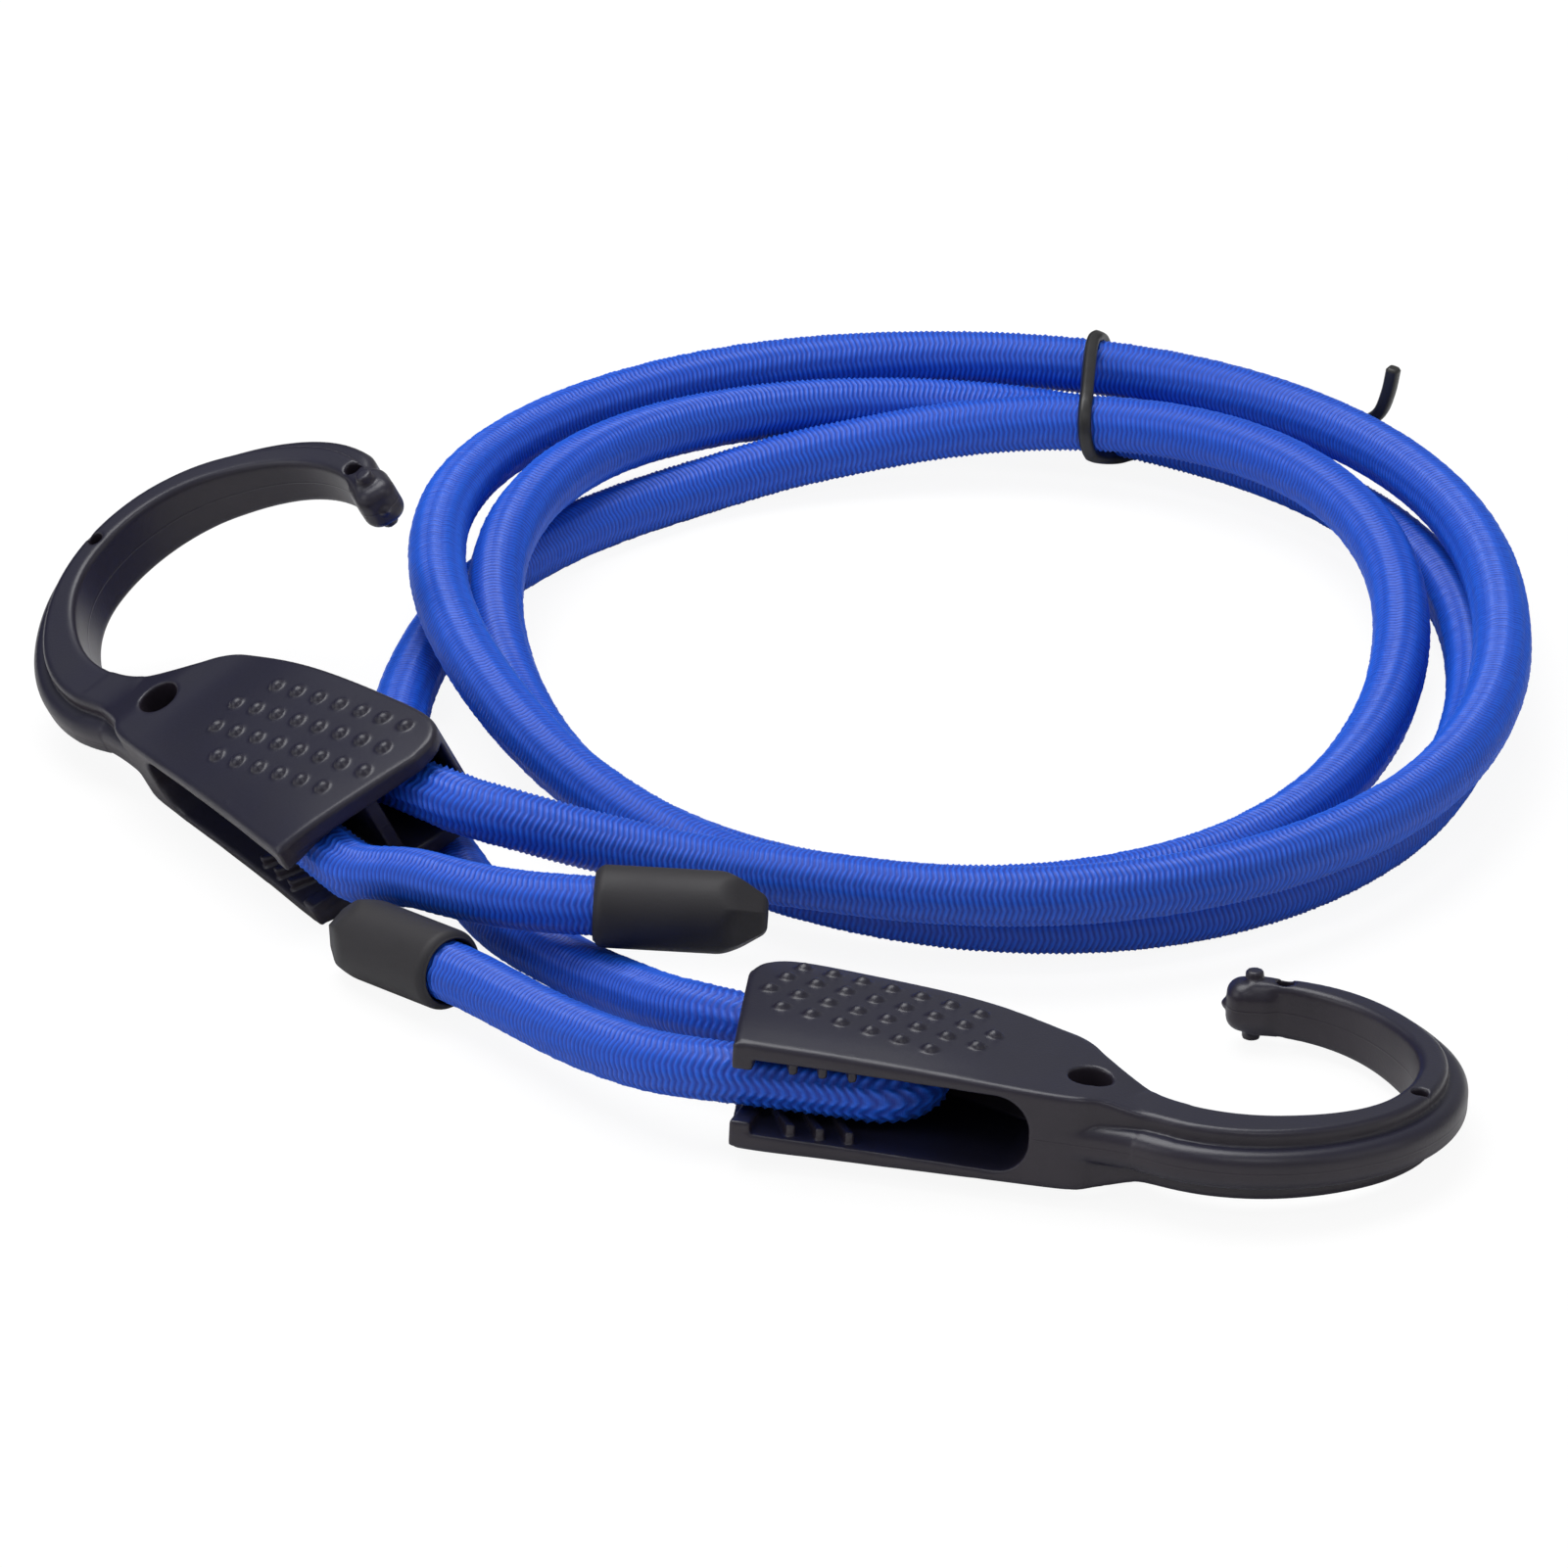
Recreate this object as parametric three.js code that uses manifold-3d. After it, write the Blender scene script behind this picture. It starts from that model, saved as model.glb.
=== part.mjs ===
// Bungee cord: a braided elastic cord with a cleat hook at each end, laid in a
// tied hank of two and a half turns with both hooks in front of it.
// Millimetres, +Z up. The hooks and the hank lie on the floor z = 0, and the
// origin is under the middle of the two hooks.
import * as THREE from 'three';
import { mergeVertices } from 'three/addons/utils/BufferGeometryUtils.js';
import Module from 'manifold-3d';

const wasm = await Module();
wasm.setup();

// Clearance between pieces that touch.
const FIT = 0.3;

// Elastic cord: braided sheath round a rubber core.
const CORD_D = 9;
const SHEATH_WALL = 0.95;
const SHEATH_SIDES = 8;
const CORE_SIDES = 6;

// Hook body, in the hook's own frame: u runs from the cord mouth to the ring,
// v towards the ring's opening, w across the thickness, zero at the neck hole.
const MOUTH_U = -54.6;         // mouth edge at its far corner
const MOUTH_SLANT = 4.2;       // how far the near corner stands back from it
const BODY_FAR_V = 24.3;       // widest point of the far edge
const BODY_NEAR_V = -7.0;      // near edge at the mouth
const NECK_NEAR_V = -8.7;      // near edge where the body ends
const NECK_U = -2;             // where the near edge steps in to the ring
const SHOULDER_U = 0.9;        // far shoulder beside the ring
const SHOULDER_V = 7.0;
const BODY_HALF_MOUTH = 8.7;   // half thickness at the mouth
const BODY_HALF_NECK = 7.35;   // half thickness beside the neck hole
const BODY_ROUND = 2.0;        // rounding of the body's long edges
const BODY_CROWN = 1.25;       // rise of both faces in the middle of the grip
const CROWN_U = -33;           // where the faces stand highest
const CROWN_RUN = 23;          // how far from there the rise runs out
const NECK_HOLE_D = 6.3;

// Ring: stepped section, narrow flat rims above and below a wider mid bulge.
const RING_U = 20.3;
const RING_V = 20.3;
const RING_IN_R = 23.2;
const RIM_W = 4.2;             // flat rim width
const RIM_NECK_EXTRA = 1.6;    // extra rim width where it joins the body
const BULGE = 2.7;             // mid bulge outside the rim
const RING_HALF = 5.4;         // half thickness of the ring at the neck
const TIP_HALF = 4.2;          // and at its tip
const NECK_FILL = 1.3;         // how far the neck's fillet narrows the opening
const RING_FROM = -122;        // degrees round the ring, neck to tip
const RING_TO = 101;
const TIP_FLARE = 3.2;         // how far the tip side opens outwards
const FLARE_FROM = 35;
const TIP_KNOB_R = 3.9;
const TIP_PIN_D = 2.9;         // boss on both faces of the tip
const TIP_PIN_H = 1.0;
const TIP_HOLE_D = 2.6;
const RING_HOLE_D = 2.4;

// Cord cleat in the body: open at the mouth and along the near side.
const CLEAT_END_U = -9.5;
const CLEAT_HALF = 5.6;        // half height inside
const CLEAT_END_ROUND = 3.4;
const CLEAT_WALL = 2.1;        // far wall
const BEND_U = -32;            // centre of the cord's turn inside the hook
const BEND_V = 6.9;
const BEND_R = 6.4;
const LEAD_SPLAY = 12;         // degrees between lead and tail in the cleat
const DIVIDER_MOUTH_W = 2.2;   // divider between lead and tail at the mouth
const CORD_PROUD = 2.2;        // how far the bend stands out of the mouth
const RIB_COUNT = 3;           // slanted grip ribs on each inner face
const RIB_PITCH = 4.3;
const RIB_W = 1.3;
const RIB_LEN = 8;
const RIB_SLANT = 24;
const RIB_FIRST_U = -43.4;
const JAW_W = 2.6;             // lip at the mouth, as tall as the ribs

// Raised grip dots on both faces: four staggered rows along the far edge.
const DOT_D = 2.5;
const DOT_H = 0.7;
const DOT_SINK = 0.35;         // foot of a dot below the crowned face
const DOT_PITCH = 4.6;
const DOT_ROW_PITCH = 5.15;
const DOT_SLOPE = -0.28;
const DOT_U = -46.2;
const DOT_V = 20.5;
const DOT_ROWS = [[7, 0], [8, -1.4], [8, -2.9], [6, 0.2]];

// End caps on the tails: blind bore, rounded mouth, six flats on the tip.
const CAP_D = 12.2;
const CAP_L = 25.3;
const CAP_BORE_DEPTH = 14.5;
const CAP_LIP = 1.0;
const CAP_TAPER = 6;
const CAP_TIP_FLAT = 2.5;

// Tie: coated wire, once round the hank, with both ends run out beside it.
const TIE_D = 2.0;

// Where the hooks lie: plan position of the neck hole, then heading of the
// ring, nose-down pitch and roll. Each rests on the floor.
const RIGHT_AT = { x: 43.0, y: -133.4, yaw: -12.9, pitch: 1.9, roll: -3 };
const LEFT_AT = { x: -92.3, y: -5.6, yaw: 120.7, pitch: -2.1, roll: 151.6 };

const rad = THREE.MathUtils.degToRad;
const smooth = (x, a, b) => THREE.MathUtils.smoothstep(x, a, b);

// Closed mesh to boolean solid and back, turned so that its faces point out.
function solid(geometry) {
  const bare = geometry.clone();
  for (const name of Object.keys(bare.attributes)) {
    if (name !== 'position') bare.deleteAttribute(name);
  }
  const merged = mergeVertices(bare, 1e-4);
  const p = merged.attributes.position;
  const tri = Array.from(merged.index.array);
  const kept = [];
  let volume = 0;
  const [a, b, c] = [new THREE.Vector3(), new THREE.Vector3(), new THREE.Vector3()];
  for (let i = 0; i < tri.length; i += 3) {
    const [x, y, z] = tri.slice(i, i + 3);
    if (x === y || y === z || z === x) continue;
    kept.push(x, y, z);
    volume += a.fromBufferAttribute(p, x).dot(b.fromBufferAttribute(p, y).cross(c.fromBufferAttribute(p, z)));
  }
  if (volume < 0) {
    for (let i = 0; i < kept.length; i += 3) [kept[i], kept[i + 1]] = [kept[i + 1], kept[i]];
  }
  return new wasm.Manifold(new wasm.Mesh({
    numProp: 3, vertProperties: new Float32Array(p.array), triVerts: Uint32Array.from(kept),
  }));
}

function geometryOf(body) {
  const mesh = body.getMesh();
  const geometry = new THREE.BufferGeometry();
  geometry.setAttribute('position', new THREE.BufferAttribute(new Float32Array(mesh.vertProperties), 3));
  geometry.setIndex(Array.from(mesh.triVerts));
  geometry.computeVertexNormals();
  return geometry;
}

// Loft through rings of equally many points, closed by a fan at either end.
function loft(rings) {
  const n = rings[0].length;
  const middle = (ring) => ring.reduce((sum, p) => sum.add(p), new THREE.Vector3()).divideScalar(n);
  const points = [...rings.flat(), middle(rings[0]), middle(rings.at(-1))];
  const index = [];
  for (let k = 0; k + 1 < rings.length; k++) {
    for (let i = 0; i < n; i++) {
      const [a, b] = [k * n + i, k * n + (i + 1) % n];
      index.push(a, b, b + n, a, b + n, a + n);
    }
  }
  const last = (rings.length - 1) * n;
  for (let i = 0; i < n; i++) {
    index.push(points.length - 2, (i + 1) % n, i, points.length - 1, last + i, last + (i + 1) % n);
  }
  const geometry = new THREE.BufferGeometry();
  geometry.setAttribute('position', new THREE.Float32BufferAttribute(points.flatMap((p) => [p.x, p.y, p.z]), 3));
  geometry.setIndex(index);
  return geometry;
}

// Straight prism of an outline in the hook's plane, across the thickness.
function slab(shape, half, segments = 6) {
  const geometry = new THREE.ExtrudeGeometry(shape, { depth: 2 * half, bevelEnabled: false, curveSegments: segments });
  return geometry.translate(0, 0, -half);
}

// Pin or hole across the thickness.
function pin(u, v, d, half, sides = 16) {
  return new THREE.CylinderGeometry(d / 2, d / 2, 2 * half, sides).rotateX(Math.PI / 2).translate(u, v, 0);
}

const ringPoint = (deg, r) => new THREE.Vector2(RING_U + r * Math.cos(rad(deg)), RING_V + r * Math.sin(rad(deg)));

// The cord's way through the hook: in along the lead channel, round the nose
// of the divider and out along the tail channel.
class CleatBend extends THREE.Curve {
  constructor() {
    super();
    this.splay = rad(LEAD_SPLAY);
    this.out = new THREE.Vector2(-Math.cos(this.splay), Math.sin(this.splay));
    this.top = new THREE.Vector2(BEND_U + BEND_R * Math.sin(this.splay), BEND_V + BEND_R * Math.cos(this.splay));
    this.leadRun = (MOUTH_U - CORD_PROUD - this.top.x) / this.out.x;
    this.tailRun = BEND_U - (MOUTH_U + MOUTH_SLANT * 0.75 - CORD_PROUD);
    this.turn = Math.PI - this.splay;
    this.span = this.leadRun + BEND_R * this.turn + this.tailRun;
  }

  getPoint(t, target = new THREE.Vector3()) {
    const s = t * this.span;
    if (s < this.leadRun) {
      const k = this.leadRun - s;
      return target.set(this.top.x + k * this.out.x, this.top.y + k * this.out.y, 0);
    }
    const arc = (s - this.leadRun) / BEND_R;
    if (arc < this.turn) {
      const a = Math.PI / 2 - this.splay - arc;
      return target.set(BEND_U + BEND_R * Math.cos(a), BEND_V + BEND_R * Math.sin(a), 0);
    }
    return target.set(BEND_U - (s - this.leadRun - BEND_R * this.turn), BEND_V - BEND_R, 0);
  }
}
const bend = new CleatBend();

const bodyHalf = (u) => {
  const neck = THREE.MathUtils.mapLinear(u, MOUTH_U, 0, BODY_HALF_MOUTH, BODY_HALF_NECK);
  return THREE.MathUtils.lerp(neck, RING_HALF - 0.3, smooth(u, 0, RING_U - 9));
};

// Body: rounded sections lofted from the slanted mouth to the neck, where it
// steps in to the ring. Both faces are crowned.
function hookBody() {
  const web = ringPoint(-113, RING_IN_R);
  const inRim = NECK_NEAR_V + 2.3;
  const farEdge = (k) => THREE.MathUtils.lerp(SHOULDER_V + 8.2, BODY_FAR_V, k);
  const nearEdge = (k) => THREE.MathUtils.lerp(NECK_NEAR_V, BODY_NEAR_V, k);
  const stations = [
    [MOUTH_U, BODY_NEAR_V + 1.6, BODY_FAR_V - 6.5],
    [MOUTH_U + 0.5, BODY_NEAR_V + 0.5, BODY_FAR_V - 4.2],
    [MOUTH_U + 1.8, BODY_NEAR_V, BODY_FAR_V - 2],
    [MOUTH_U + 4.2, BODY_NEAR_V, BODY_FAR_V - 0.5],
    [MOUTH_U + 7.6, BODY_NEAR_V, BODY_FAR_V],
    [NECK_U - 33, nearEdge(0.75), farEdge(0.8)],
    [NECK_U - 18, nearEdge(0.4), farEdge(0.42)],
    [NECK_U - 6, nearEdge(0.1), farEdge(0)],
    [NECK_U - 2, NECK_NEAR_V, SHOULDER_V + 6.4],
    [NECK_U + 0.6, NECK_NEAR_V, SHOULDER_V + 4.3],
    [SHOULDER_U, NECK_NEAR_V + 0.4, SHOULDER_V],
    [SHOULDER_U + 2, NECK_NEAR_V + 1.5, SHOULDER_V - 2.9],
    [SHOULDER_U + 4.4, inRim, SHOULDER_V - 5.3],
    [SHOULDER_U + 7.4, inRim, web.y + 0.9],
    [web.x, inRim - 0.8, web.y - 0.1],
  ];
  const rings = stations.map(([u, near, far]) => {
    const wide = far - near;
    const half = bodyHalf(u);
    const r = Math.min(BODY_ROUND, 0.3 * wide);
    const crown = BODY_CROWN * Math.max(0, 1 - ((u - CROWN_U) / CROWN_RUN) ** 2);
    const face = [[0, r], [0.3 * r, 0.3 * r], [r, 0], [0.32 * wide, -0.85 * crown], [0.5 * wide, -crown],
      [0.68 * wide, -0.85 * crown], [wide - r, 0], [wide - 0.3 * r, 0.3 * r], [wide, r]];
    const slant = MOUTH_SLANT * (1 - smooth(u, MOUTH_U, NECK_U - 18));
    const point = ([x, drop], side) => new THREE.Vector3(
      u + slant * (BODY_FAR_V - near - x) / (BODY_FAR_V - BODY_NEAR_V), near + x, side * (half - drop));
    return [...face.map((f) => point(f, -1)), ...face.toReversed().map((f) => point(f, 1))];
  });
  return loft(rings);
}

// Ring arm: the stepped section swept from the neck to the tip.
function ringArm() {
  const rings = [];
  const count = 24;
  for (let k = 0; k <= count; k++) {
    const deg = RING_FROM + (RING_TO - RING_FROM) * k / count;
    const clear = RING_IN_R + TIP_FLARE * smooth(deg, FLARE_FROM, RING_TO);
    const inner = clear - NECK_FILL * smooth(-deg, 25, 70);
    const rim = clear + RIM_W + RIM_NECK_EXTRA * smooth(-deg, 45, 105) - 0.8 * smooth(deg, 70, 105);
    const bulge = rim + BULGE * (1 - 0.7 * smooth(-deg, 106, -RING_FROM)) - 0.6 * smooth(deg, 60, 110);
    const h = THREE.MathUtils.lerp(RING_HALF, TIP_HALF, smooth(deg, -10, 95));
    const section = [
      [inner + 0.7, -h], [rim - 0.4, -h], [rim, -h + 0.5], [rim + 0.5, -h + 1.8], [bulge - 0.7, -2.3], [bulge, -0.9],
      [bulge, 0.9], [bulge - 0.7, 2.3], [rim + 0.5, h - 1.8], [rim, h - 0.5], [rim - 0.4, h], [inner + 0.7, h],
      [inner, h - 0.9], [inner - 0.3, 0], [inner, -h + 0.9],
    ];
    rings.push(section.map(([r, w]) => {
      const p = ringPoint(deg, r);
      return new THREE.Vector3(p.x, p.y, w);
    }));
  }
  return loft(rings);
}

// Space inside the cleat, round the divider, with rounded inner corners.
function cleatSpace() {
  const lead = new THREE.Vector2(MOUTH_U - 8, 0);
  lead.y = bend.top.y + (lead.x - bend.top.x) * bend.out.y / bend.out.x;
  const clear = CORD_D / 2 + FIT;
  const far = (u) => bend.top.y + (u - bend.top.x) * bend.out.y / bend.out.x + clear / Math.cos(bend.splay);
  const plan = new THREE.Shape();
  plan.moveTo(lead.x, BODY_NEAR_V - 8);
  plan.lineTo(CLEAT_END_U, BODY_NEAR_V - 8);
  plan.lineTo(CLEAT_END_U, SHOULDER_V + 1);
  plan.quadraticCurveTo(CLEAT_END_U, SHOULDER_V + 4.6 - CLEAT_WALL * 0.5, CLEAT_END_U - 5, SHOULDER_V + 6 - CLEAT_WALL * 0.5);
  plan.lineTo(BEND_U + 4, Math.max(far(BEND_U + 4), BEND_V + BEND_R + clear));
  plan.lineTo(lead.x, far(lead.x));
  const side = new THREE.Shape();
  const [r, h] = [CLEAT_END_ROUND, CLEAT_HALF];
  side.moveTo(lead.x - 1, -h);
  side.lineTo(CLEAT_END_U - r, -h);
  side.absarc(CLEAT_END_U - r, -h + r, r, -Math.PI / 2, 0, false);
  side.absarc(CLEAT_END_U - r, h - r, r, 0, Math.PI / 2, false);
  side.lineTo(lead.x - 1, h);
  const across = new THREE.ExtrudeGeometry(side, { depth: 100, bevelEnabled: false, curveSegments: 4 });
  across.rotateX(Math.PI / 2).translate(0, 50, 0);
  // Divider: thin at the mouth, as wide as the turn allows at its nose.
  const nose = BEND_R - CORD_D / 2 - FIT;
  const start = MOUTH_U + MOUTH_SLANT * 0.5 + 1.5;
  const mid = (BEND_V - BEND_R + bend.top.y + (start - bend.top.x) * bend.out.y / bend.out.x) / 2;
  const divider = new THREE.Shape();
  divider.moveTo(start, mid - DIVIDER_MOUTH_W / 2);
  divider.lineTo(BEND_U, BEND_V - nose);
  divider.absarc(BEND_U, BEND_V, nose, -Math.PI / 2, Math.PI / 2 - bend.splay, false);
  divider.lineTo(start, mid + DIVIDER_MOUTH_W / 2);
  return solid(slab(plan, BODY_HALF_MOUTH)).intersect(solid(across))
    .subtract(solid(slab(divider, BODY_HALF_MOUTH + 1, 5)));
}

// Grip ribs and mouth lips on both inner faces, just clear of the cord.
function cleatRibs() {
  const under = CORD_D / 2 + FIT;
  const tall = (BODY_HALF_NECK + CLEAT_HALF) / 2 - under;
  const parts = [];
  for (const side of [-1, 1]) {
    const w = side * (under + tall / 2);
    for (let k = 0; k < RIB_COUNT; k++) {
      parts.push(solid(new THREE.BoxGeometry(RIB_W, RIB_LEN, tall).rotateZ(rad(RIB_SLANT))
        .translate(RIB_FIRST_U + k * RIB_PITCH, BODY_NEAR_V + RIB_LEN / 2 + 0.8, w)));
    }
    parts.push(solid(new THREE.BoxGeometry(JAW_W, RIB_LEN, tall)
      .translate(MOUTH_U + MOUTH_SLANT + JAW_W / 2 + 0.4, BODY_NEAR_V + RIB_LEN / 2 + 0.8, w)));
  }
  return parts;
}

// Grip dots, set on the crowned faces.
function gripDots(bodyGeometry) {
  const body = new THREE.Mesh(bodyGeometry, new THREE.MeshBasicMaterial({ side: THREE.DoubleSide }));
  const ray = new THREE.Raycaster();
  const dome = new THREE.ConeGeometry(DOT_D / 2 * (DOT_H + DOT_SINK) / DOT_H, DOT_H + DOT_SINK, 6)
    .rotateX(Math.PI / 2).translate(0, 0, (DOT_H - DOT_SINK) / 2);
  const parts = [];
  DOT_ROWS.forEach(([count, shift], row) => {
    for (let k = 0; k < count; k++) {
      const u = DOT_U + shift + k * DOT_PITCH;
      const v = DOT_V - row * DOT_ROW_PITCH + DOT_SLOPE * (u - DOT_U);
      ray.set(new THREE.Vector3(u, v, 4 * BODY_HALF_MOUTH), new THREE.Vector3(0, 0, -1));
      const [hit] = ray.intersectObject(body);
      for (const side of [1, -1]) {
        const one = dome.clone();
        if (side < 0) one.rotateX(Math.PI);
        parts.push(solid(one.translate(u, v, side * hit.point.z)));
      }
    }
  });
  return parts;
}

function hookGeometry() {
  const bodyGeometry = hookBody();
  const knobAt = ringPoint(RING_TO, RING_IN_R + TIP_FLARE + RIM_W / 2 + 0.3);
  const tipHoleAt = ringPoint(91.9, RING_IN_R + 0.95 * TIP_FLARE + RIM_W / 2);
  const ringHoleAt = ringPoint(-15.5, RING_IN_R + RIM_W / 2 + 0.4);
  const knob = new THREE.SphereGeometry(1, 12, 8)
    .scale(TIP_KNOB_R, TIP_KNOB_R, TIP_HALF - 0.1).translate(knobAt.x, knobAt.y, 0);
  let hook = solid(bodyGeometry).subtract(cleatSpace());
  for (const rib of cleatRibs()) hook = hook.add(rib);
  hook = hook.add(solid(ringArm())).add(solid(knob))
    .add(solid(pin(knobAt.x, knobAt.y, TIP_PIN_D, TIP_HALF + TIP_PIN_H, 12)));
  for (const dot of gripDots(bodyGeometry)) hook = hook.add(dot);
  return geometryOf(hook
    .subtract(solid(pin(0, 0, NECK_HOLE_D, 2 * BODY_HALF_MOUTH)))
    .subtract(solid(pin(tipHoleAt.x, tipHoleAt.y, TIP_HOLE_D, 2 * TIP_HALF, 10)))
    .subtract(solid(pin(ringHoleAt.x, ringHoleAt.y, RING_HOLE_D, 2 * RING_HALF, 10))));
}

// Hank: two and a half turns, counted in degrees from the +X side. The first
// turn (the left lead's) rides on the second; both cross over the last one
// where it leaves for the right hook.
const HANK_X = 28.9;
const HANK_Y = 34.0;
const HANK_R = 92.6;           // mean radius of the first turn
const HANK_FROM = -100;
const HANK_TO = 820;
const HANK_STEP = 12;          // degrees a step
const FLOOR_Z = CORD_D / 2;
const wave = (deg, n, at) => Math.cos(n * rad(deg - at));
const hump = (deg, at, half) => (Math.abs(deg - at) < half ? 0.5 + 0.5 * Math.cos(Math.PI * (deg - at) / half) : 0);

class Hank extends THREE.Curve {
  constructor() {
    super();
    this.arcLengthDivisions = 1500;
    const speed = (deg) => this.at(deg + 0.5).distanceTo(this.at(deg - 0.5));
    this.before = CORD_D / speed(HANK_FROM);
    this.after = CORD_D / speed(HANK_TO);
  }

  // First turn's radius: longer front to back, a little egg-shaped.
  oval(deg) {
    return HANK_R + 9.6 * wave(deg, 2, 96) + 1.4 * wave(deg, 3, 42);
  }

  at(deg) {
    const second = smooth(deg, 140, 270);
    const third = smooth(deg, 500, 630);
    const r = this.oval(deg)
      + second * (1 - third) * (-7.4 + 2.7 * wave(deg, 1, 0) + 1.3 * wave(deg, 2, 22))
      + third * (-18.2 + 3.2 * wave(deg, 1, 90) + 3.9 * wave(deg, 2, 21))
      + 3.4 * hump(deg, 128, 48) + 4 * hump(deg, 625, 75);
    const z = FLOOR_Z + (CORD_D + 0.5) * (1 - smooth(deg, 183, 298.5)) + 2.1 * hump(deg, 175, 60)
      + 1.7 * hump(deg, 440, 45) + 9.9 * hump(deg, 500, 79) + 8.0 * hump(deg, 775, 80);
    return new THREE.Vector3(HANK_X + r * Math.cos(rad(deg)), HANK_Y + r * Math.sin(rad(deg)), z);
  }

  // Straight for one diameter past either end.
  getPoint(t, target = new THREE.Vector3()) {
    const deg = HANK_FROM - this.before + (HANK_TO - HANK_FROM + this.before + this.after) * t;
    const inside = THREE.MathUtils.clamp(deg, HANK_FROM, HANK_TO);
    const tangent = this.at(inside + 0.5).sub(this.at(inside - 0.5));
    return target.copy(this.at(inside)).addScaledVector(tangent, deg - inside);
  }
}
const hank = new Hank();

// Least gap between one turn of the hank and the next.
{
  const turns = [];
  for (let deg = HANK_FROM - hank.before; deg <= HANK_TO + hank.after; deg += 2) {
    const t = (deg - HANK_FROM + hank.before) / (HANK_TO - HANK_FROM + hank.before + hank.after);
    turns.push(hank.getPoint(t));
  }
  let least = Infinity;
  for (let i = 0; i < turns.length; i++) {
    for (let j = i + 60; j < turns.length; j++) least = Math.min(least, turns[i].distanceTo(turns[j]));
  }
  console.log(`hank: ${hank.getLength().toFixed(0)} mm long, least gap ${(least - CORD_D).toFixed(2)} mm`);
}

const polygon = (radius, sides) => Array.from({ length: sides }, (_, i) => {
  const a = 2 * Math.PI * (i + 0.5) / sides;
  return new THREE.Vector2(radius * Math.cos(a), radius * Math.sin(a));
});

// Tube along a curve, solid or with a bore.
function tube(path, steps, radius, sides, bore = 0) {
  const shape = new THREE.Shape(polygon(radius, sides));
  if (bore > 0) shape.holes.push(new THREE.Path(polygon(bore, sides)));
  const geometry = new THREE.ExtrudeGeometry(shape, { steps, bevelEnabled: false, extrudePath: path });
  return geometryOf(solid(geometry));
}

const SHEATH_R = CORD_D / 2;
const BORE_R = SHEATH_R - SHEATH_WALL;
const CORE_R = BORE_R * Math.cos(Math.PI / SHEATH_SIDES) - FIT;

const nylon = new THREE.MeshStandardMaterial({ color: 0x242326, roughness: 0.5, metalness: 0 });
const capPlastic = new THREE.MeshStandardMaterial({ color: 0x2f2d2c, roughness: 0.65, metalness: 0 });
const braid = new THREE.MeshStandardMaterial({ color: 0x2443c4, roughness: 0.6, metalness: 0 });
const rubber = new THREE.MeshStandardMaterial({ color: 0xd8cfb8, roughness: 0.8, metalness: 0 });
const wireCoat = new THREE.MeshStandardMaterial({ color: 0x17171a, roughness: 0.45, metalness: 0 });

function named(name, geometry, material) {
  const mesh = new THREE.Mesh(geometry, material);
  mesh.name = name;
  return mesh;
}

// One stretch of cord: sheath and core on the same curve.
function stretch(name, path, steps) {
  return [
    named(`${name}_sheath`, tube(path, steps, SHEATH_R, SHEATH_SIDES, BORE_R), braid),
    named(`${name}_core`, tube(path, steps, CORE_R, CORE_SIDES), rubber),
  ];
}

// A hook with the cord's bend inside it, set down on the floor.
function hookGroup(side, at, geometry) {
  const group = new THREE.Group();
  group.rotation.set(rad(at.roll), rad(at.pitch), rad(at.yaw), 'ZYX');
  group.position.set(at.x, at.y, 0);
  group.add(named(`${side}_hook`, geometry, nylon), ...stretch(`${side}_bend`, bend, 22));
  group.updateMatrixWorld(true);
  group.position.z = -new THREE.Box3().setFromObject(group.children[0], true).min.z;
  group.updateMatrixWorld(true);
  return group;
}

const shared = hookGeometry();
const leftHook = hookGroup('left', LEFT_AT, shared);
const rightHook = hookGroup('right', RIGHT_AT, shared.clone());

// Where the cord leaves a hook, as a point just outside and its direction.
function exit(hook, t) {
  const point = bend.getPoint(t).applyMatrix4(hook.matrixWorld);
  const inside = bend.getPoint(t === 0 ? 0.02 : 0.98).applyMatrix4(hook.matrixWorld);
  const direction = point.clone().sub(inside).normalize();
  return { point: point.addScaledVector(direction, FIT), direction };
}

function hankEnd(t) {
  const point = hank.getPoint(t);
  const direction = point.clone().sub(hank.getPoint(t === 0 ? 0.004 : 0.996)).normalize();
  return { point: point.addScaledVector(direction, FIT), direction };
}

// Free cord from one end to another through hand-laid points, straight for
// half a diameter at both ends.
function run(from, points, to) {
  const ends = [from, to].map((e) => [e.point, e.point.clone().addScaledVector(e.direction, SHEATH_R)]);
  const path = new THREE.CatmullRomCurve3([
    ...ends[0], ...points.map((p) => new THREE.Vector3(...p)), ...ends[1].toReversed(),
  ], false, 'centripetal');
  path.arcLengthDivisions = 600;
  return path;
}

// End cap on a tail: bored from its mouth, six flats on its tip.
function capGeometry() {
  const [r, b] = [CAP_D / 2, CORD_D / 2 + FIT];
  const profile = [
    [0, CAP_BORE_DEPTH], [b, CAP_BORE_DEPTH], [b, 0.5], [b + 0.4, 0], [r - CAP_LIP, 0], [r - 0.3 * CAP_LIP, 0.3 * CAP_LIP],
    [r, CAP_LIP], [r, CAP_L], [0, CAP_L],
  ].map(([x, y]) => new THREE.Vector2(x, y));
  const slope = (r - CAP_TIP_FLAT) / CAP_TAPER;
  const reach = 2 * CAP_L;
  const flats = new THREE.CylinderGeometry(CAP_TIP_FLAT / Math.cos(Math.PI / 6),
    (CAP_TIP_FLAT + slope * reach) / Math.cos(Math.PI / 6), reach, 6).translate(0, CAP_L - reach / 2, 0);
  const body = solid(new THREE.LatheGeometry(profile, 20)).intersect(solid(flats));
  return geometryOf(body).rotateX(Math.PI / 2);
}

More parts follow.
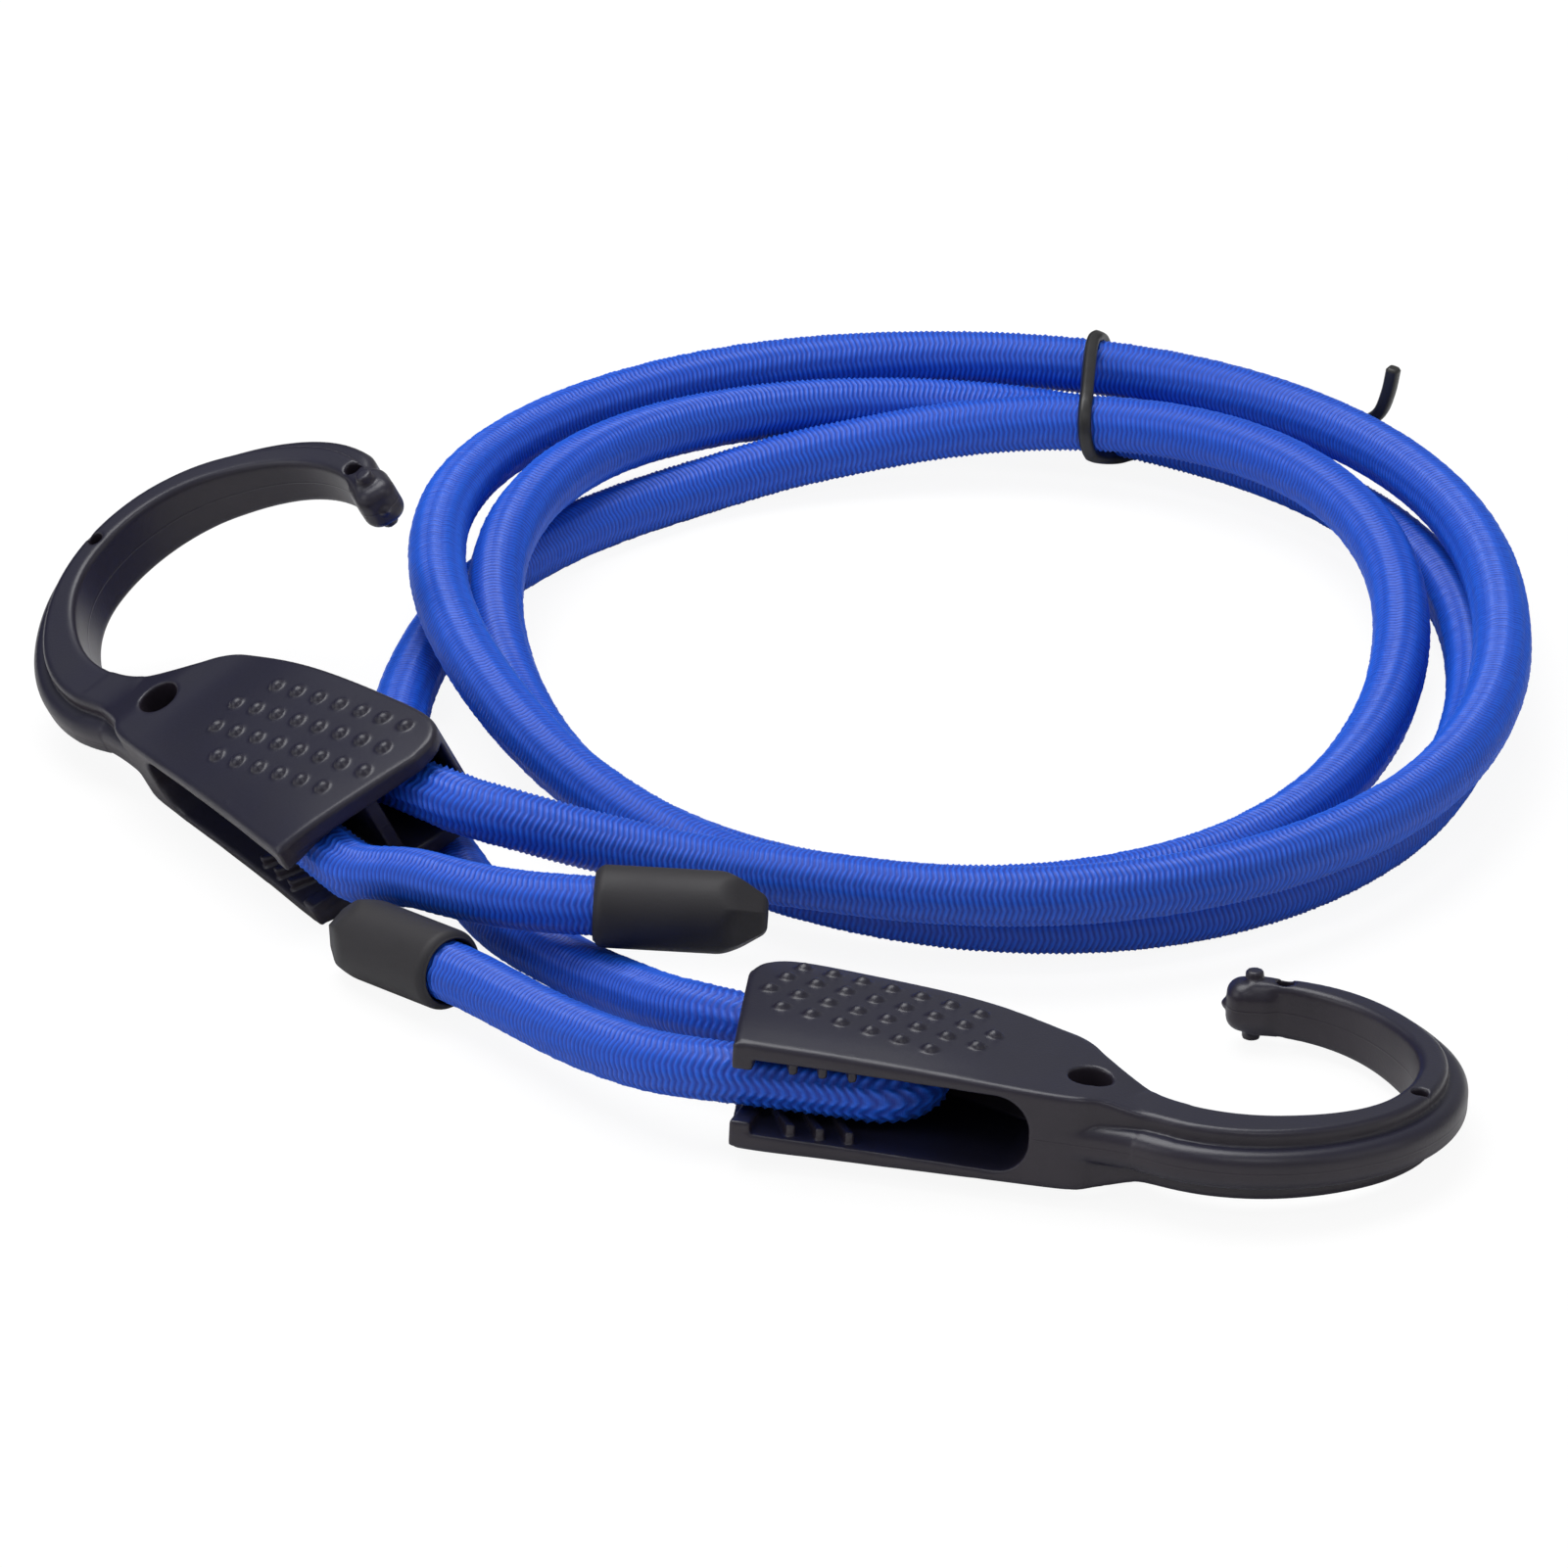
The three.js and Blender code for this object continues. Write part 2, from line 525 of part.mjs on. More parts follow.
// Tail of the cord, out of a hook and into its cap.
function tail(side, hook, points, capMouth, capTip) {
  const mouth = new THREE.Vector3(...capMouth);
  const axis = new THREE.Vector3(...capTip).sub(mouth).normalize();
  const seat = { point: mouth.clone().addScaledVector(axis, CAP_BORE_DEPTH - FIT), direction: axis.clone().negate() };
  const last = mouth.clone().addScaledVector(axis, -2);
  const path = run(exit(hook, 1), [...points, last.toArray(), mouth.toArray()], seat);
  const cap = named(`${side}_end_cap`, capGeometry(), capPlastic);
  cap.quaternion.setFromUnitVectors(new THREE.Vector3(0, 0, 1), axis);
  cap.position.copy(mouth);
  return [...stretch(`${side}_tail`, path, 14), cap];
}

// Tie wire: an end standing up behind the hank, a run along the floor under
// the first turn, once round all three turns, and the other end beside it.
function tiePath() {
  const at = 76;
  const under = SHEATH_R + TIE_D / 2 + FIT;
  const reach = under + HANK_R * (1 - Math.cos(rad(HANK_STEP / 2)));
  const strands = [at, at + 360, at + 720].map((deg) => {
    const p = hank.at(deg);
    return { r: Math.hypot(p.x - HANK_X, p.y - HANK_Y), z: p.z };
  });
  const [a, b, c] = strands;
  const floor = TIE_D / 2 + 0.1;
  const round = (s, angle, deg, out = reach) => [s.r + out * Math.cos(rad(angle)), deg, s.z + out * Math.sin(rad(angle))];
  const beside = (deg, out) => hank.oval(deg) + out;
  const points = [
    [beside(46, 9.5), 46, 25], [beside(47, 8.6), 47, 17], [beside(49, 7.4), 49, 9], [beside(52, 6.2), 52, 3.4],
    [beside(57, 5.2), 57, floor + 0.4], [beside(64, 5.0), 64, floor + 0.4], [beside(70, 5.4), 70, floor + 1.4],
    round(a, -32, 74.4), round(a, 8, 75.4), round(a, 50, 75.9), round(a, 92, 76.2),
    round(c, 112, 76), round(c, 150, 75.6), round(c, 195, 75), round(c, 240, 74.2),
    round(b, 264, 73.2, under), [b.r + 5, 72, floor], [beside(69, 1.6), 69, floor], [beside(63, 1.5), 63, floor],
    [beside(57, 2.4), 57, floor], [beside(51, 5.2), 50, floor],
  ];
  const path = new THREE.CatmullRomCurve3(points.map(([r, deg, z]) => new THREE.Vector3(
    HANK_X + r * Math.cos(rad(deg)), HANK_Y + r * Math.sin(rad(deg)), z)), false, 'centripetal');
  path.arcLengthDivisions = 600;
  return path;
}

// Everything lies in one layout, moved so that the origin is under the middle
// of the two hooks.
const layout = new THREE.Group();
layout.add(leftHook, rightHook);
const hooksBox = new THREE.Box3().setFromObject(named('', shared.clone().applyMatrix4(leftHook.matrixWorld), nylon))
  .union(new THREE.Box3().setFromObject(named('', shared.clone().applyMatrix4(rightHook.matrixWorld), nylon)));
const middle = hooksBox.getCenter(new THREE.Vector3());
layout.position.set(-middle.x, -middle.y, 0);

layout.add(...stretch('coil', hank, Math.round((HANK_TO - HANK_FROM) / HANK_STEP)));

// Left lead: from the hank's first turn over the right lead into the left hook.
layout.add(...stretch('left_lead', run(hankEnd(0), [
  [-3.5, -59.7, 13.3], [-10.5, -57.9, 13.6], [-23.7, -54.9, 15.1], [-32.5, -53.7, 16.9], [-39.9, -52.1, 18.6],
], exit(leftHook, 0)), 9));

// Right lead: under both turns at the left, along the floor and under the
// left tail to the right hook.
layout.add(...stretch('right_lead', run(hankEnd(1), [
  [-13.4, 104.2, 4.5], [-28.9, 91.2, 4.5], [-39.5, 78.6, 4.5], [-50.0, 60.0, 4.5], [-57.0, 34.0, 4.5], [-59.4, 8.0, 4.5],
  [-56.0, -17.0, 4.5], [-49.3, -38.3, 4.5], [-45.8, -49.1, 4.5], [-40.6, -60.9, 4.5], [-34.7, -68.4, 4.6],
  [-28.9, -76.8, 5.2], [-23.1, -84.8, 6.5], [-17.3, -93.7, 8.3],
], exit(rightHook, 0)), 28));

layout.add(...tail('left', leftHook, [
  [-57.3, -57.6, 12.3], [-51.6, -64.0, 13.8], [-45.9, -69.3, 14.8], [-40.4, -73.1, 15.5], [-34.8, -75.7, 16.1],
], [-27.6, -78.0, 16.8], [-2.7, -79.5, 16.0]));

layout.add(...tail('right', rightHook, [
  [-18.7, -117.3, 10.8], [-24.6, -111.4, 10.1], [-30.3, -104.8, 9.2], [-35.8, -97.8, 8.7], [-41.2, -90.6, 8.3],
], [-48.4, -82.0, 8.0], [-65.9, -62.6, 5.9]));

layout.add(named('twist_tie', tube(tiePath(), 60, TIE_D / 2, 8), wireCoat));

const part = new THREE.Group();
part.add(layout);
part.updateMatrixWorld(true);
export default part;
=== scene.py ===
import math
from itertools import product

import bpy
import numpy as np
from mathutils import Matrix, Vector


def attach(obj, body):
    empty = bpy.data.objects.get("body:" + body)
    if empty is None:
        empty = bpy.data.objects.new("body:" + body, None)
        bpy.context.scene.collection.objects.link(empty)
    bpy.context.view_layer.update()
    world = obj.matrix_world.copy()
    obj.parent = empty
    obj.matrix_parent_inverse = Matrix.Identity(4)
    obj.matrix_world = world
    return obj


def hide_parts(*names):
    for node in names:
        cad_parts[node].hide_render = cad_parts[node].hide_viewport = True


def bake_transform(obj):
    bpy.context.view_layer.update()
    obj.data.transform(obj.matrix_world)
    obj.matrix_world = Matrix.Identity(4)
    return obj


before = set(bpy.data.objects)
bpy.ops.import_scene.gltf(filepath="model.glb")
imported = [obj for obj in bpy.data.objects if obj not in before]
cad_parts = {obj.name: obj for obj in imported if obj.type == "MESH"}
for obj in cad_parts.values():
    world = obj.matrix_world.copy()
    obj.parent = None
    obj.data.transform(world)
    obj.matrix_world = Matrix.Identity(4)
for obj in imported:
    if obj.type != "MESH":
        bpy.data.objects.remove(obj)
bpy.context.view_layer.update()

scene = bpy.context.scene

# Camera: a long lens in front of the cord and well above it, so that the hank
# lies open as an oval and the hooks keep nearly the same size.
PICTURE_PX = 1601
FOCAL_PX = 11000
SENSOR_WIDTH = 36.0
EYE_AT = (0.00901373, -1.4457636, 0.6973202)
EYE_TILT = 65

eye = bpy.data.cameras.new("eye")
eye.sensor_width = SENSOR_WIDTH
eye.lens = SENSOR_WIDTH * FOCAL_PX / PICTURE_PX
camera = bpy.data.objects.new("camera", eye)
camera.location = EYE_AT
camera.rotation_euler = (math.radians(EYE_TILT), 0, 0)
scene.collection.objects.link(camera)
scene.camera = camera
scene.view_settings.view_transform = "Standard"

# Elastic cord: 9 mm of rubber threads in a braided polyester sheath, one length
# of about two metres, wound in two and a half turns. Each end goes through a
# hook, turns back in its cleat and ends in a moulded cap.
CORD_R = 4.5
GAP = 0.3

# Lengths are millimetres until a mesh is made. LAID is where the frame has the
# origin that the cord and the hooks were laid out from.
LAID = np.array([9.013725, 49.644274, 0.0])

# The hank's turns, each a radius with lobes: how many, towards which angle, how
# high. The second and third turns step in, and humps carry a strand over others.
HANK_MIDDLE = (28.9, 34.0)
HANK_ENDS = (-100, 820)
RUN_OUT = 9
OUTER_TURN = (92.6, [(2, 96, 9.6), (3, 42, 1.4)])
SECOND_STEP = (-7.4, [(1, 0, 2.7), (2, 22, 1.3)])
SECOND_FROM = (140, 270)
THIRD_STEP = (-18.2, [(1, 90, 3.2), (2, 21, 3.9)])
THIRD_FROM = (500, 630)
WIDE_HUMPS = [(128, 48, 3.4), (625, 75, 4.0)]
ON_TOP = 9.5
LOWERED = (183, 298.5)
HIGH_HUMPS = [(175, 60, 2.1), (440, 45, 1.7), (500, 79, 9.9), (775, 80, 8.0)]


def smooth(x, low, high):
    """A soft step from 0 at low to 1 at high."""
    t = np.clip((np.asarray(x, float) - low) / (high - low), 0, 1)
    return t * t * (3 - 2 * t)


def lobed(turn, deg):
    radius, lobes = turn
    for count, towards, height in lobes:
        radius = radius + height * np.cos(count * np.radians(deg - towards))
    return radius


def humped(base, humps, deg):
    for top, half, height in humps:
        hump = 0.5 + 0.5 * np.cos(np.pi * (deg - top) / half)
        base = base + height * np.where(abs(deg - top) < half, hump, 0)
    return base


def hank_turns(deg):
    """The hank's centre line at an angle counted on through its turns, from the right-hand side."""
    deg = np.asarray(deg, float)
    second, third = smooth(deg, *SECOND_FROM), smooth(deg, *THIRD_FROM)
    radius = lobed(OUTER_TURN, deg)
    radius = radius + second * (1 - third) * lobed(SECOND_STEP, deg) + third * lobed(THIRD_STEP, deg)
    radius = humped(radius, WIDE_HUMPS, deg)
    height = humped(CORD_R + ON_TOP * (1 - smooth(deg, *LOWERED)), HIGH_HUMPS, deg)
    x = HANK_MIDDLE[0] + radius * np.cos(np.radians(deg))
    y = HANK_MIDDLE[1] + radius * np.sin(np.radians(deg))
    return np.stack([x, y, height], axis=-1) + LAID


def run_out(deg, outwards):
    """The straight run of cord beyond one end of the turns, from that end outwards."""
    way = hank_turns(deg + 0.5) - hank_turns(deg - 0.5)
    return hank_turns(deg) + outwards * way * np.linspace(0.1, RUN_OUT / np.linalg.norm(way), 12)[:, None]


first_end, last_end = HANK_ENDS
turns = hank_turns(np.linspace(first_end, last_end, 2800))
coil = np.vstack([run_out(first_end, -1)[::-1], turns, run_out(last_end, 1)])


def turned(at, z, yaw, pitch, roll):
    """A hook's place: its neck hole, then its heading, nose-down pitch and roll in degrees."""
    turn = [Matrix.Rotation(math.radians(a), 4, axis) for a, axis in ((yaw, "Z"), (pitch, "Y"), (roll, "X"))]
    place = turn[0] @ turn[1] @ turn[2]
    place.translation = (at[0] + LAID[0], at[1] + LAID[1], z)
    return np.array(place)


HOOKS = {
    "left": turned((-92.3, -5.6), 11.9082, 120.7, -2.1, 151.6),
    "right": turned((43, -133.4), 9.4555, -12.9, 1.9, -3),
}
CLEAT_NOSE = np.array([-32, 6.9])
CLEAT_R = 6.4
SPLAY = math.radians(12)
CLEAT_TOP = CLEAT_NOSE + CLEAT_R * np.array([math.sin(SPLAY), math.cos(SPLAY)])
LEAD_FROM = -56.8
TAIL_TO = -53.65
TAIL_V = CLEAT_NOSE[1] - CLEAT_R


def placed(place, points):
    points = np.asarray(points, float)
    return points @ place[:3, :3].T + place[:3, 3]


def cleat_bend():
    """The cord's way through a hook: in along the lead channel, round the divider's nose and out."""
    out = np.array([-math.cos(SPLAY), math.sin(SPLAY)])
    lead = CLEAT_TOP + np.linspace((LEAD_FROM - CLEAT_TOP[0]) / out[0], 0, 40)[:, None] * out
    angle = np.linspace(math.pi / 2 - SPLAY, -math.pi / 2, 40)[1:]
    arc = CLEAT_NOSE + CLEAT_R * np.stack([np.cos(angle), np.sin(angle)], axis=1)
    tail = np.stack([np.linspace(CLEAT_NOSE[0], TAIL_TO, 40)[1:], np.full(39, TAIL_V)], axis=1)
    flat = np.vstack([lead, arc, tail])
    return np.column_stack([flat, np.zeros(len(flat))])


bends = {side: placed(place, cleat_bend()) for side, place in HOOKS.items()}

# The free runs between the hank, the hooks and the caps go through given points.
LEFT_LEAD = [
    (-39.9, -52.1, 18.6), (-32.5, -53.7, 16.9), (-23.7, -54.9, 15.1), (-10.5, -57.9, 13.6),
    (-3.5, -59.7, 13.3),
]
RIGHT_LEAD = [
    (-13.4, 104.2, 4.5), (-28.9, 91.2, 4.5), (-39.5, 78.6, 4.5), (-50, 60, 4.5), (-57, 34, 4.5),
    (-59.4, 8, 4.5), (-56, -17, 4.5), (-49.3, -38.3, 4.5), (-45.8, -49.1, 4.5), (-40.6, -60.9, 4.5),
    (-34.7, -68.4, 4.6), (-28.9, -76.8, 5.2), (-23.1, -84.8, 6.5), (-17.3, -93.7, 8.3),
]
TAILS = {
    "left": [
        (-57.3, -57.6, 12.3), (-51.6, -64, 13.8), (-45.9, -69.3, 14.8), (-40.4, -73.1, 15.5),
        (-34.8, -75.7, 16.1),
    ],
    "right": [
        (-18.7, -117.3, 10.8), (-24.6, -111.4, 10.1), (-30.3, -104.8, 9.2), (-35.8, -97.8, 8.7),
        (-41.2, -90.6, 8.3),
    ],
}
CAP_ENDS = {
    "left": np.array([(-27.6, -78, 16.8), (-2.7, -79.5, 16)]) + LAID,
    "right": np.array([(-48.4, -82, 8), (-65.9, -62.6, 5.9)]) + LAID,
}
CORD_IN_CAP = 14.2


def through(points, per=24):
    """A smooth line through given points, straight out of either end."""
    p = np.asarray(points, float)
    p = np.vstack([2 * p[0] - p[1], p, 2 * p[-1] - p[-2]])
    line = []
    for a, b, c, d in zip(p[:-3], p[1:-2], p[2:-1], p[3:]):
        ta, tb, tc = (max(np.linalg.norm(q - o) ** 0.5, 1e-4) for o, q in ((a, b), (b, c), (c, d)))
        go = ((b - a) / ta - (c - a) / (ta + tb) + (c - b) / tb) * tb
        come = ((c - b) / tb - (d - b) / (tb + tc) + (d - c) / tc) * tb
        t = np.linspace(0, 1, per, endpoint=False)[:, None]
        line.append(b + go * t + (3 * (c - b) - 2 * go - come) * t**2 + (2 * (b - c) + go + come) * t**3)
    return np.vstack([*line, p[-2:-1]])


def leaving(line):
    """The two points that a free run starts with where it leaves the end of another line."""
    way = line[-1] - line[-2]
    way = way / np.linalg.norm(way)
    return [line[-1] + GAP * way, line[-1] + (GAP + CORD_R) * way]


def free_run(one, points, other):
    """From the end of one line, through the laid points, to the start of the other."""
    return through([*leaving(one), *(np.array(points) + LAID), *leaving(other[::-1])[::-1]])


def cap_axis(side):
    """The middle of a cap's mouth, and the way from there to its tip."""
    mouth, tip = CAP_ENDS[side]
    return mouth, (tip - mouth) / np.linalg.norm(tip - mouth)


def tail_line(side):
    mouth, axis = cap_axis(side)
    seat = mouth + CORD_IN_CAP * axis
    into_cap = [mouth - 2 * axis, mouth, seat - CORD_R * axis, seat]
    return through([*leaving(bends[side]), *(np.array(TAILS[side]) + LAID), *into_cap])


left_way_in = bends["left"][::-1]
stretches = {
    "left_tail": tail_line("left")[::-1],
    "left_bend": left_way_in,
    "left_lead": free_run(left_way_in, LEFT_LEAD, coil),
    "coil": coil,
    "right_lead": free_run(coil, RIGHT_LEAD, bends["right"]),
    "right_bend": bends["right"],
    "right_tail": tail_line("right"),
}
names = list(stretches)

# The whole cord's line at even steps, with a frame that doesn't twist, where
# along it each stretch ends, and how far the hooks hold it stretched open.
STEP = 0.25
EASE = 41
HELD_OUTSIDE = 6
HELD_INSIDE = 8


def length_of(line):
    return float(np.linalg.norm(np.diff(line, axis=0), axis=1).sum())


def read_at(wanted, places, vectors):
    """Vectors known at places along the cord, read at the wanted places."""
    return np.stack([np.interp(wanted, places, vectors[:, k]) for k in range(3)], axis=-1)


rough = np.vstack(list(stretches.values()))
rough = rough[np.r_[True, np.linalg.norm(np.diff(rough, axis=0), axis=1) > 1e-6]]
run = np.r_[0, np.cumsum(np.linalg.norm(np.diff(rough, axis=0), axis=1))]
shares = np.cumsum([0] + [length_of(line) + GAP for line in stretches.values()])
cuts = shares * run[-1] / shares[-1]
along = np.arange(0, run[-1], STEP)
middle = read_at(along, run, rough)
soft = np.array([1, 2, 3, 4, 3, 2, 1], float) / 16
for k in range(3):
    middle[3:-3, k] = np.convolve(middle[:, k], soft, "valid")

opened = np.zeros(len(along))
for side in HOOKS:
    low, high = cuts[names.index(side + "_bend"):][:2]
    opening = smooth(along, low - HELD_OUTSIDE, low + HELD_INSIDE)
    closing = smooth(along, high - HELD_INSIDE, high + HELD_OUTSIDE)
    opened = np.maximum(opened, opening * (1 - closing))
wide = np.convolve(np.ones(EASE), np.ones(EASE)) / EASE**2
longer = np.pad(middle, ((EASE - 1, EASE - 1), (0, 0)), "reflect", reflect_type="odd")
eased = np.stack([np.convolve(longer[:, k], wide, "valid") for k in range(3)], axis=1)
middle += (1 - opened)[:, None] * (eased - middle)

tangent = np.gradient(middle, axis=0)
tangent /= np.linalg.norm(tangent, axis=1, keepdims=True)
side_way = np.zeros_like(middle)
side_way[0] = np.cross(tangent[0], (0, 0, 1))
for i in range(1, len(middle)):
    carried = side_way[i - 1] - tangent[i] * (side_way[i - 1] @ tangent[i])
    side_way[i] = carried / np.linalg.norm(carried)
up_way = np.cross(tangent, side_way)

# Braid: twelve columns of plaits round the cord, leaning one way and the other
# in turn. Where a hook holds the cord stretched, the plaits stand further apart
# and those of neighbouring columns out of step.
COLUMNS = 12
FACETS = 4
CREST = 0.14
OUT_OF_STEP = 0.9
UNEVEN_FROM = 0.72
OVAL = 0.05

# Each pair is the value on the free cord and where it is held open.
PLAIT = (0.88, 1.496)
LEAN = (0.56, 1.51)
DEPTH = (0.42, 0.64)
PLAIT_FOOT = (0.6, 0.15)


def between(pair, share):
    return pair[0] + (pair[1] - pair[0]) * share


# Two rings of points make a plait, a groove and a crest. Each point is moved along
# the cord by its column's lean, and the crests swell in the middle of a column.
step = between(PLAIT, opened) / 2
rings = [0.0]
while rings[-1] < along[-1] - 1:
    rings.append(rings[-1] + float(np.interp(rings[-1], along, step)))
rings = np.array(rings)
open_here = np.interp(rings, along, opened)[:, None]
sides = COLUMNS * FACETS
spot = np.arange(sides)
column = spot // FACETS
part = (spot % FACETS) / FACETS
slope = np.where(column % 2, 1, -1) * (part - 0.5)
shift = OUT_OF_STEP * open_here * between(PLAIT, open_here) / 2
at = rings[:, None] + between(LEAN, open_here) * slope + shift * (column % 2)
at = np.clip(at, 0, along[-1])
crest = np.arange(len(rings))[:, None] % 2
swell = 0.5 - 0.5 * np.cos(2 * np.pi * part)
uneven = np.random.default_rng(5).uniform(UNEVEN_FROM, 1.0, (len(rings), COLUMNS))[:, column]
foot = between(PLAIT_FOOT, open_here)
rise = np.where(crest, (foot + (1 - foot) * swell) * uneven, 0.04 + 0.12 * swell)
wander = np.interp(at, along, 0.5 * np.sin(along / 131) + 0.35 * np.sin(along / 57 + 1))
angle = 2 * np.pi * spot / sides + wander
radius = CORD_R + CREST + between(DEPTH, open_here) * (rise - 1) + OVAL * np.sin(2 * angle + at / 37)
middle_at, side_at, up_at = (read_at(at, along, vectors) for vectors in (middle, side_way, up_way))
skin = middle_at + radius[..., None] * (np.cos(angle)[..., None] * side_at + np.sin(angle)[..., None] * up_at)
centres = read_at(rings, along, middle)
around = np.roll(skin, -1, axis=1) - np.roll(skin, 1, axis=1)
skin_normal = np.cross(around, np.gradient(skin, axis=0))
skin_normal /= np.linalg.norm(skin_normal, axis=2, keepdims=True)


def closed_tube(name, ring_points):
    """A tube through rings of points in millimetres, closed at both ends by a fan."""
    count, n = ring_points.shape[:2]
    flat = ring_points.reshape(-1, 3)
    points = np.vstack([flat, ring_points[0].mean(0), ring_points[-1].mean(0)]) / 1000
    i = np.arange(n)
    after = (i + 1) % n
    first = (np.arange(count - 1) * n)[:, None]
    walls = np.stack([first + i, first + after, first + n + after, first + n + i], -1)
    last = (count - 1) * n
    lids = [(len(flat), (j + 1) % n, j) for j in range(n)]
    lids += [(len(flat) + 1, last + j, last + (j + 1) % n) for j in range(n)]
    mesh = bpy.data.meshes.new(name)
    mesh.from_pydata(points.tolist(), [], walls.reshape(-1, 4).tolist() + lids)
    mesh.polygons.foreach_set("use_smooth", np.arange(len(mesh.polygons)) < len(mesh.polygons) - len(lids))
    piece = bpy.data.objects.new(name, mesh)
    scene.collection.objects.link(piece)
    return piece


def paint(mesh, name, values):
    """Stores a number or a vector at each point of a mesh, for its material."""
    values = np.asarray(values, np.float32)
    kind, key = ("FLOAT", "value") if values.ndim == 1 else ("FLOAT_VECTOR", "vector")
    mesh.attributes.new(name, kind, "POINT").data.foreach_set(key, values.ravel())


class Wire:
    """An output of one node tree. Sums of wires add Math nodes, and node() adds any other."""

    def __init__(self, tree, socket=None):
        self.tree = tree
        self.socket = socket

    def node(self, kind, settings=None, sockets=None, out=0):
        made = self.tree.nodes.new("ShaderNode" + kind)
        for key, value in (settings or {}).items():
            setattr(made, key, value)
        for key, value in (sockets or {}).items():
            if isinstance(value, Wire):
                self.tree.links.new(value.socket, made.inputs[key])
            else:
                made.inputs[key].default_value = value
        return Wire(self.tree, made.outputs[out])

    def math(self, operation, *values):
        return self.node("Math", {"operation": operation}, dict(enumerate(values)))

    def mix(self, factor, low, high):
        return self.node("Mix", {"data_type": "RGBA"}, {0: factor, 6: low, 7: high}, out=2)

    def painted(self, name, out=2):
        """What paint() stored under a name: a number, or with out=1 a vector."""
        return self.node("Attribute", {"attribute_name": name}, out=out)

    def clouds(self, scale, detail):
        """Noise that is fixed to the piece."""
        place = self.node("TexCoord", out=3)
        return self.node("TexNoise", {}, {"Vector": place, "Scale": scale, "Detail": detail})

    def bump(self, strength, distance, height):
        return self.node("Bump", {}, {"Strength": strength, "Distance": distance, "Height": height})

    def soft_step(self, value, low, high, first=0.0, last=1.0):
        return self.node("MapRange", {"interpolation_type": "SMOOTHSTEP"}, {
            "Value": value, "From Min": low, "From Max": high, "To Min": first, "To Max": last,
        })

    def __add__(self, other):
        return self.math("ADD", self, other)

    def __radd__(self, other):
        return self.math("ADD", other, self)

    def __sub__(self, other):
        return self.math("SUBTRACT", self, other)

    def __rsub__(self, other):
        return self.math("SUBTRACT", other, self)

    def __mul__(self, other):
        return self.math("MULTIPLY", self, other)

    def __rmul__(self, other):
        return self.math("MULTIPLY", other, self)


def new_finish(name):
    """A new material, the start of its wires and its main shader."""
    made = bpy.data.materials.new(name)
    made.use_nodes = True
    return made, Wire(made.node_tree), made.node_tree.nodes["Principled BSDF"]


def coat(start, shader, values):
    """Sets or links the shader's sockets."""
    for key, value in values.items():
        if isinstance(value, Wire):
            start.tree.links.new(value.socket, shader.inputs[key])
        else:
            shader.inputs[key].default_value = value


# Painted shade and painted highlight: the grooves between the plaits are painted a darker blue and the crests
# a lighter one.
PAINTED_GROOVE_SHADE_BLUE = (0.002, 0.014, 0.23, 1)
PAINTED_CREST_HIGHLIGHT_BLUE = (0.011, 0.138, 0.82, 1)
WORN_BLUE = (0.008, 0.066, 0.6, 1)
SHEEN_BLUE = (0.2, 0.4, 1.0, 1)

braid, start, shader = new_finish("braided_polyester")
rise_on = start.painted("rise")
ridge = 0.5 - 0.5 * start.math("COSINE", start.painted("plait") * (2 * math.pi))
thread = start.node("TexNoise", {"noise_dimensions": "3D"}, {
    "Vector": start.painted("lay", out=1), "Scale": 1.0, "Detail": 3.0, "Roughness": 0.6,
})
# Painted shade in the grooves and painted highlight on the crests, by the plaits' rise and ridge, mixed with
# fibre noise.
painted_relief_and_fibre = rise_on * 0.35 + ridge * 0.42 + thread * 0.5 - 0.13
colour = start.mix(painted_relief_and_fibre, PAINTED_GROOVE_SHADE_BLUE, PAINTED_CREST_HIGHLIGHT_BLUE)
coat(start, shader, {
    "Base Color": start.mix(start.clouds(60.0, 4.0) * 0.25, colour, WORN_BLUE),
    "Roughness": 0.55 - 0.16 * rise_on,
    "Normal": start.bump(0.75, 0.0002, ridge * (0.5 + rise_on * 0.5) + thread * 0.3),
    "Specular IOR Level": 0.4,
    "Sheen Weight": 0.15,
    "Sheen Roughness": 0.4,
    "Sheen Tint": SHEEN_BLUE,
})

THREADS_ALONG = 7
THREADS_ROUND = 3

# The line of a stretch runs from the hank to a hook, or from a hook to a cap, so
# two of them are turned round.
FROM_LEFT = ("left_tail", "left_lead")
cords = {}
for k, name in enumerate(names):
    first, last = (int(np.abs(rings - cut).argmin()) for cut in cuts[k:k + 2])
    rows = slice(first, last + 1)
    piece = closed_tube(name, skin[rows])
    mesh = piece.data
    lay = [at[rows] * THREADS_ALONG, np.cos(angle[rows]) * THREADS_ROUND, np.sin(angle[rows]) * THREADS_ROUND]
    lay = np.stack(lay, axis=-1)
    paint(mesh, "rise", np.r_[rise[rows].ravel(), 0, 0])
    paint(mesh, "plait", np.r_[np.repeat(np.arange(first, last + 1) / 2, sides), 0, 0])
    paint(mesh, "lay", np.vstack([lay.reshape(-1, 3), np.zeros((2, 3))]))
    ends = [tangent[min(int(cut / STEP), len(along) - 1)] for cut in cuts[k:k + 2]]
    normals = np.vstack([skin_normal[rows].reshape(-1, 3), -ends[0], ends[1]])
    mesh.normals_split_custom_set_from_vertices(normals.tolist())
    mesh.materials.append(braid)
    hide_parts(name + "_sheath", name + "_core")
    line = centres[rows] / 1000
    cords[name] = (piece, line[::-1] if name in FROM_LEFT else line)

for side in HOOKS:
    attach(cords[side + "_bend"][0], side + "_hook")
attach(cords["coil"][0], "hank")


def crossing(name):
    """Bakes a stretch's place into the points of its mesh."""
    piece, line = cords[name]
    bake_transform(piece)


crossing("left_lead")
crossing("right_lead")
crossing("left_tail")
crossing("right_tail")

for name, lay_kind in (("coil", "coiled"), ("left_lead", "loose"), ("right_lead", "loose")):
    piece, line = cords[name]

